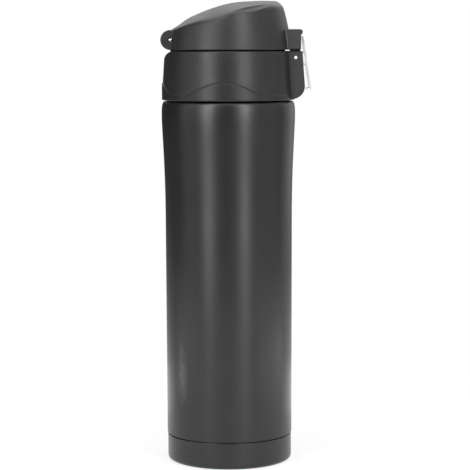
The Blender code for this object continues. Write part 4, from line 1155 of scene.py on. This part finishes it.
def make_lid_plate():
    edge, plate_top, skirt = PLATE[1].x, PLATE[1].z, PLATE[0].z
    plate = plate_top - PLATE_THICKNESS
    plug = GASKET[1].x + FIT_GAP + PLUG_WALL
    inner = plug - PLUG_WALL
    floor = GASKET[1].z + FIT_GAP
    floor_top = floor + PLUG_WALL
    profile = [(0.0, floor_top), (inner, floor_top), (inner, plate_top), (edge, plate_top),
               (edge, plate), (plug, plate), (plug, skirt), (inner, skirt), (inner, floor), (0.0, floor)]
    liner = turned("lid_plate", profile, THIN_EDGE)
    width = BLOCK_HALF + FIT_GAP
    cut(liner, block("notch", (2.0 * HINGE_X, BLOCK_X + FIT_GAP), (-width, width),
                     (plate - CUT_OVER, plate_top + CUT_OVER)))
    return liner


def make_gasket():
    outer, low, top = GASKET[1].x, GASKET[0].z, GASKET[1].z
    seat = outer - GASKET_SEAT
    lip_top = low + GASKET_LIP
    profile = [(0.0, top), (outer, top), (outer, lip_top), (outer - GASKET_LIP, low), (seat, low),
               (seat - GASKET_LIP, lip_top), (0.0, lip_top)]
    return turned("lid_pad", profile, FINE_EDGE, LINER_STEPS)


def make_pin(name, box, x, z, dome_height):
    """A pin with domed ends."""
    half = box[1].y - BOX_GAP
    radius = box[1].z - z
    dome = [(radius * sin(a), dome_height * (1.0 - cos(a))) for a in np.radians(PIN_DOME_DEGREES)]
    profile = [(0.0, 0.0)] + dome + [(r, 2.0 * half - d) for r, d in dome[::-1]] + [(0.0, 2.0 * half)]
    pin = turned(name, profile, steps=BAR_STEPS)
    pin.data.transform(Matrix.Translation((x, -half, z)) @ Matrix.Rotation(radians(-90.0), 4, "X"))
    return pin


def is_side_face(face):
    """The flat side faces of the nose and the latch housing."""
    middle = face.calc_center_median()
    at_front = middle.x > LID_R - 0.004
    return abs(face.normal.y) > 0.985 and abs(middle.y) > LATCH_HALF - 0.0006 and at_front


def is_ear_face(face):
    """The sides of the lever's ears and foot, behind its plate."""
    depth = LEVER_HALF - abs(face.calc_center_median().y)
    return abs(face.normal.y) > 0.98 and 0.5 * EAR_INSET < depth < 1.5 * EAR_INSET


def is_seam_shade_face(face):
    """The lip on the collar's deck, seen only through the seam, where it is painted near black as the
    seam's shade.
    """
    middle = face.calc_center_median()
    beside = abs(hypot(middle.x, middle.y) - SEAM_LIP_R) < SEAM_LIP_WALL
    return beside and middle.z > DECK_Z + 0.00005 and middle.x > HINGE_X + BARREL_FOOT


def is_inner_face(face):
    """The lever's flat face towards the housing."""
    return face.normal.x < -0.8


def weigh_normals(obj):
    """Lets large flat faces keep their own normals beside the fine rounded edges."""
    modifier = obj.modifiers.new("Normals", "WEIGHTED_NORMAL")
    modifier.keep_sharp = True
    apply_modifiers(obj)


def second_finishes(obj, others):
    """Gives each further finish to its faces, with a crisp edge round them."""
    bm = bmesh.new()
    bm.from_mesh(obj.data)
    for i, (material, belongs) in enumerate(others):
        obj.data.materials.append(material)
        for face in bm.faces:
            if belongs(face):
                face.material_index = i + 1
    for edge in bm.edges:
        if len({face.material_index for face in edge.link_faces}) > 1:
            edge.smooth = False
    bm.to_mesh(obj.data)
    bm.free()


def finish_piece(obj, material, body, node, sharp=SHARP_DEGREES, others=()):
    """Smooth shading, finishes, and the CAD body and node that the piece goes with."""
    obj.data.shade_smooth()
    obj.data.set_sharp_from_angle(angle=radians(sharp))
    obj.data.materials.clear()
    obj.data.materials.append(material)
    second_finishes(obj, others)
    weigh_normals(obj)
    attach(obj, body)
    if node:
        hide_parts(node)


def make_flask():
    black = paint()
    steel = metal("polished_steel", (0.50, 0.49, 0.47), (0.66, 0.65, 0.63), 0.22, (1.0, 1.0, 30.0))
    sintered = metal("sintered_metal", grey(0.16, 0.01), grey(0.30, 0.01), 0.6, EVEN, 2500.0, 0.4)
    finish_piece(make_shell(), black, "flask", "outer_shell")
    finish_piece(make_base(), black, "flask", "base_cap")
    finish_piece(make_liner(), steel, "flask", "inner_liner")
    finish_piece(make_bottom_disc(), steel, "flask", "outer_bottom")
    finish_piece(make_bead(), sealing_glass(), "flask", "vacuum_seal_bead")
    finish_piece(make_getter(), sintered, "flask", "getter")
    neck_thread = thread("neck_thread", NECK_R, THREAD_HEIGHT, NECK_THREAD_Z)
    finish_piece(neck_thread, steel, "flask", None)


def make_unit():
    lid_black = moulding("lid_moulding", grey(0.0085, 0.0003), grey(0.0145, 0.0003), 0.43, 0.25, 0.43)
    collar_black = moulding("collar_moulding", grey(0.0075, 0.0003), grey(0.0135, 0.0003), 0.39, 0.25,
                            0.41)
    grained = moulding("grained_moulding", grey(0.006, 0.0003), grey(0.018, 0.0005), 0.58, 0.6, 0.46)
    # Painted shade: near black on the deck lip, for the dark seam between lid and collar
    painted_shade = moulding("seam_moulding", grey(0.001), grey(0.002), 0.6, 0.25, 0.05)
    inner = moulding("inner_moulding", grey(0.016, 0.0005), grey(0.024, 0.0005), 0.36)
    soft = silicone()
    ground = metal("ground_steel", grey(0.42, -0.01), grey(0.52, -0.01), 0.34)
    bright = metal("bright_plate", grey(0.88), grey(0.95), 0.36, EVEN, 400.0, 0.02, 0.4)
    drawn = metal("drawn_wire", grey(0.52, -0.01), grey(0.70, -0.01), 0.24, (1.0, 6.0, 1.0), 500.0)
    satin, coated = (metal(name, grey(0.47), grey(0.54), 0.42, (1.0, 1.0, 0.05), 1600.0, 0.02, 0.4, coat)
                     for name, coat in (("satin_chrome", 0.0), ("coated_chrome", 1.0)))
    finish_piece(make_collar(), collar_black, "drink_unit", "collar",
                 others=[(grained, is_side_face), (painted_shade, is_seam_shade_face)])
    finish_piece(make_sleeve(), inner, "drink_unit", "threaded_sleeve")
    sleeve_thread = thread("sleeve_thread", SLEEVE_BORE, -THREAD_HEIGHT, SLEEVE_THREAD_Z)
    finish_piece(sleeve_thread, inner, "drink_unit", None)
    finish_piece(make_spout(), inner, "drink_unit", "spout")
    finish_piece(make_seal("spout_ring", SPOUT_SEAL), soft, "drink_unit", "spout_seal")
    finish_piece(make_seal("mouth_ring_seal", MOUTH_SEAL), soft, "mouth_ring", "mouth_seal")
    hinge_rod = make_pin("hinge_rod", HINGE_PIN, HINGE_X, HINGE_Z, HINGE_PIN_DOME)
    finish_piece(hinge_rod, ground, "drink_unit", "hinge_pin")
    latch_rod = make_pin("latch_rod", LATCH_PIN, LATCH_X, LATCH_Z, LATCH_PIN_DOME)
    finish_piece(latch_rod, bright, "drink_unit", "latch_pin")
    finish_piece(make_hinge_coil(), drawn, "drink_unit", "hinge_spring",
                 WIRE_SHARP_DEGREES)
    finish_piece(make_lever_coil(), drawn, "drink_unit", "lever_spring",
                 WIRE_SHARP_DEGREES)
    finish_piece(make_lever(), satin, "lever", "release_lever",
                 others=[(coated, is_inner_face), (bright, is_ear_face)])
    finish_piece(make_lid(), lid_black, "lid", "lid_cover",
                 others=[(grained, is_side_face)])
    finish_piece(make_lid_plate(), inner, "lid", "lid_liner")
    finish_piece(make_gasket(), soft, "lid", "lid_gasket")


def near_object(tree, radius, low, high, offset=0.0):
    """Falls from high beside the object to low at the radius."""
    spot = soft_spot(tree, (offset, 0.0, 0.0), (radius, radius, radius))
    return spread(tree, spot, low, high, 0.0, FULL_FROM)


def make_floor():
    """A pale floor: white to the camera apart from the shadow, and a bright sheet in reflections."""
    across_floor = (-FLOOR_HALF, FLOOR_HALF)
    floor = block("studio_floor", across_floor, across_floor, (-FLOOR_DEPTH, 0.0))
    material, tree, shader = shader_of("pale_floor")
    feed(tree, shader, Base_Color=two_colours(tree, noise(tree, 3.0), grey(0.78), grey(0.82)),
         Roughness=0.8, Specular_IOR_Level=0.0)
    path = added(tree, "LightPath").outputs
    near = near_object(tree, SHEET_R, *SHEET_LIGHT, SHEET_OFFSET)
    wide = near_object(tree, WIDE_R, *WIDE_LIGHT, SHEET_OFFSET)
    sheet = added(tree, "Emission", Color=WHITE, Strength=combined(tree, "ADD", near, wide))
    lit = mixed_shader(tree, path["Is Glossy Ray"], shader, sheet)
    shadow = near_object(tree, SHADOW_R, 1.0, 1.0 - SHADOW_SHARE)
    seen = combined(tree, "MULTIPLY", path["Is Camera Ray"], shadow)
    top = mixed_shader(tree, seen, lit, added(tree, "Emission", Color=WHITE))
    tree.links.new(top.outputs[0], tree.nodes["Material Output"].inputs["Surface"])
    floor.data.materials.append(material)


def make_world():
    """A dim grey room that is white to the camera."""
    world = bpy.data.worlds.new("studio")
    bpy.context.scene.world = world
    world.use_nodes = True
    tree = world.node_tree
    room = feed(tree, tree.nodes["Background"], Color=WHITE, Strength=ROOM_LIGHT)
    white = added(tree, "Background", Color=WHITE)
    path = added(tree, "LightPath").outputs
    seen = mixed_shader(tree, path["Is Camera Ray"], room, white)
    tree.links.new(seen.outputs[0], tree.nodes["World Output"].inputs["Surface"])


def area_light(name, width, height, radiance, position):
    data = bpy.data.lights.new(name, "AREA")
    data.shape = "RECTANGLE"
    data.size = width
    data.size_y = height
    data.energy = radiance * pi * width * height
    light = place(name, data)
    light.location = position
    light.rotation_euler = (Vector(AIM) - Vector(position)).to_track_quat("-Z", "Y").to_euler()
    light.visible_camera = False


def make_lights():
    for name, (azimuth, distance, width, height, middle, radiance) in LIGHTS.items():
        a = radians(azimuth)
        position = (distance * sin(a), -distance * cos(a), middle)
        area_light(name, width, height, radiance, position)
    area_light("top_light", *TOP_LIGHT)


def make_camera():
    data = bpy.data.cameras.new("camera")
    data.sensor_width = SENSOR_MM
    data.lens = FOCAL_PIXELS / PHOTO_PIXELS * SENSOR_MM
    data.clip_start, data.clip_end = CLIP_RANGE
    camera = place("camera", data)
    tilt = Matrix.Rotation(radians(90.0 - CAMERA_PITCH), 4, "X")
    roll = Matrix.Rotation(radians(CAMERA_ROLL), 4, "Z")
    camera.matrix_world = Matrix.Translation((CAMERA_X, -CAMERA_DISTANCE, CAMERA_Z)) @ tilt @ roll
    bpy.context.scene.camera = camera


make_flask()
make_unit()
make_floor()
make_world()
make_lights()
make_camera()
bpy.context.scene.view_settings.view_transform = "Standard"
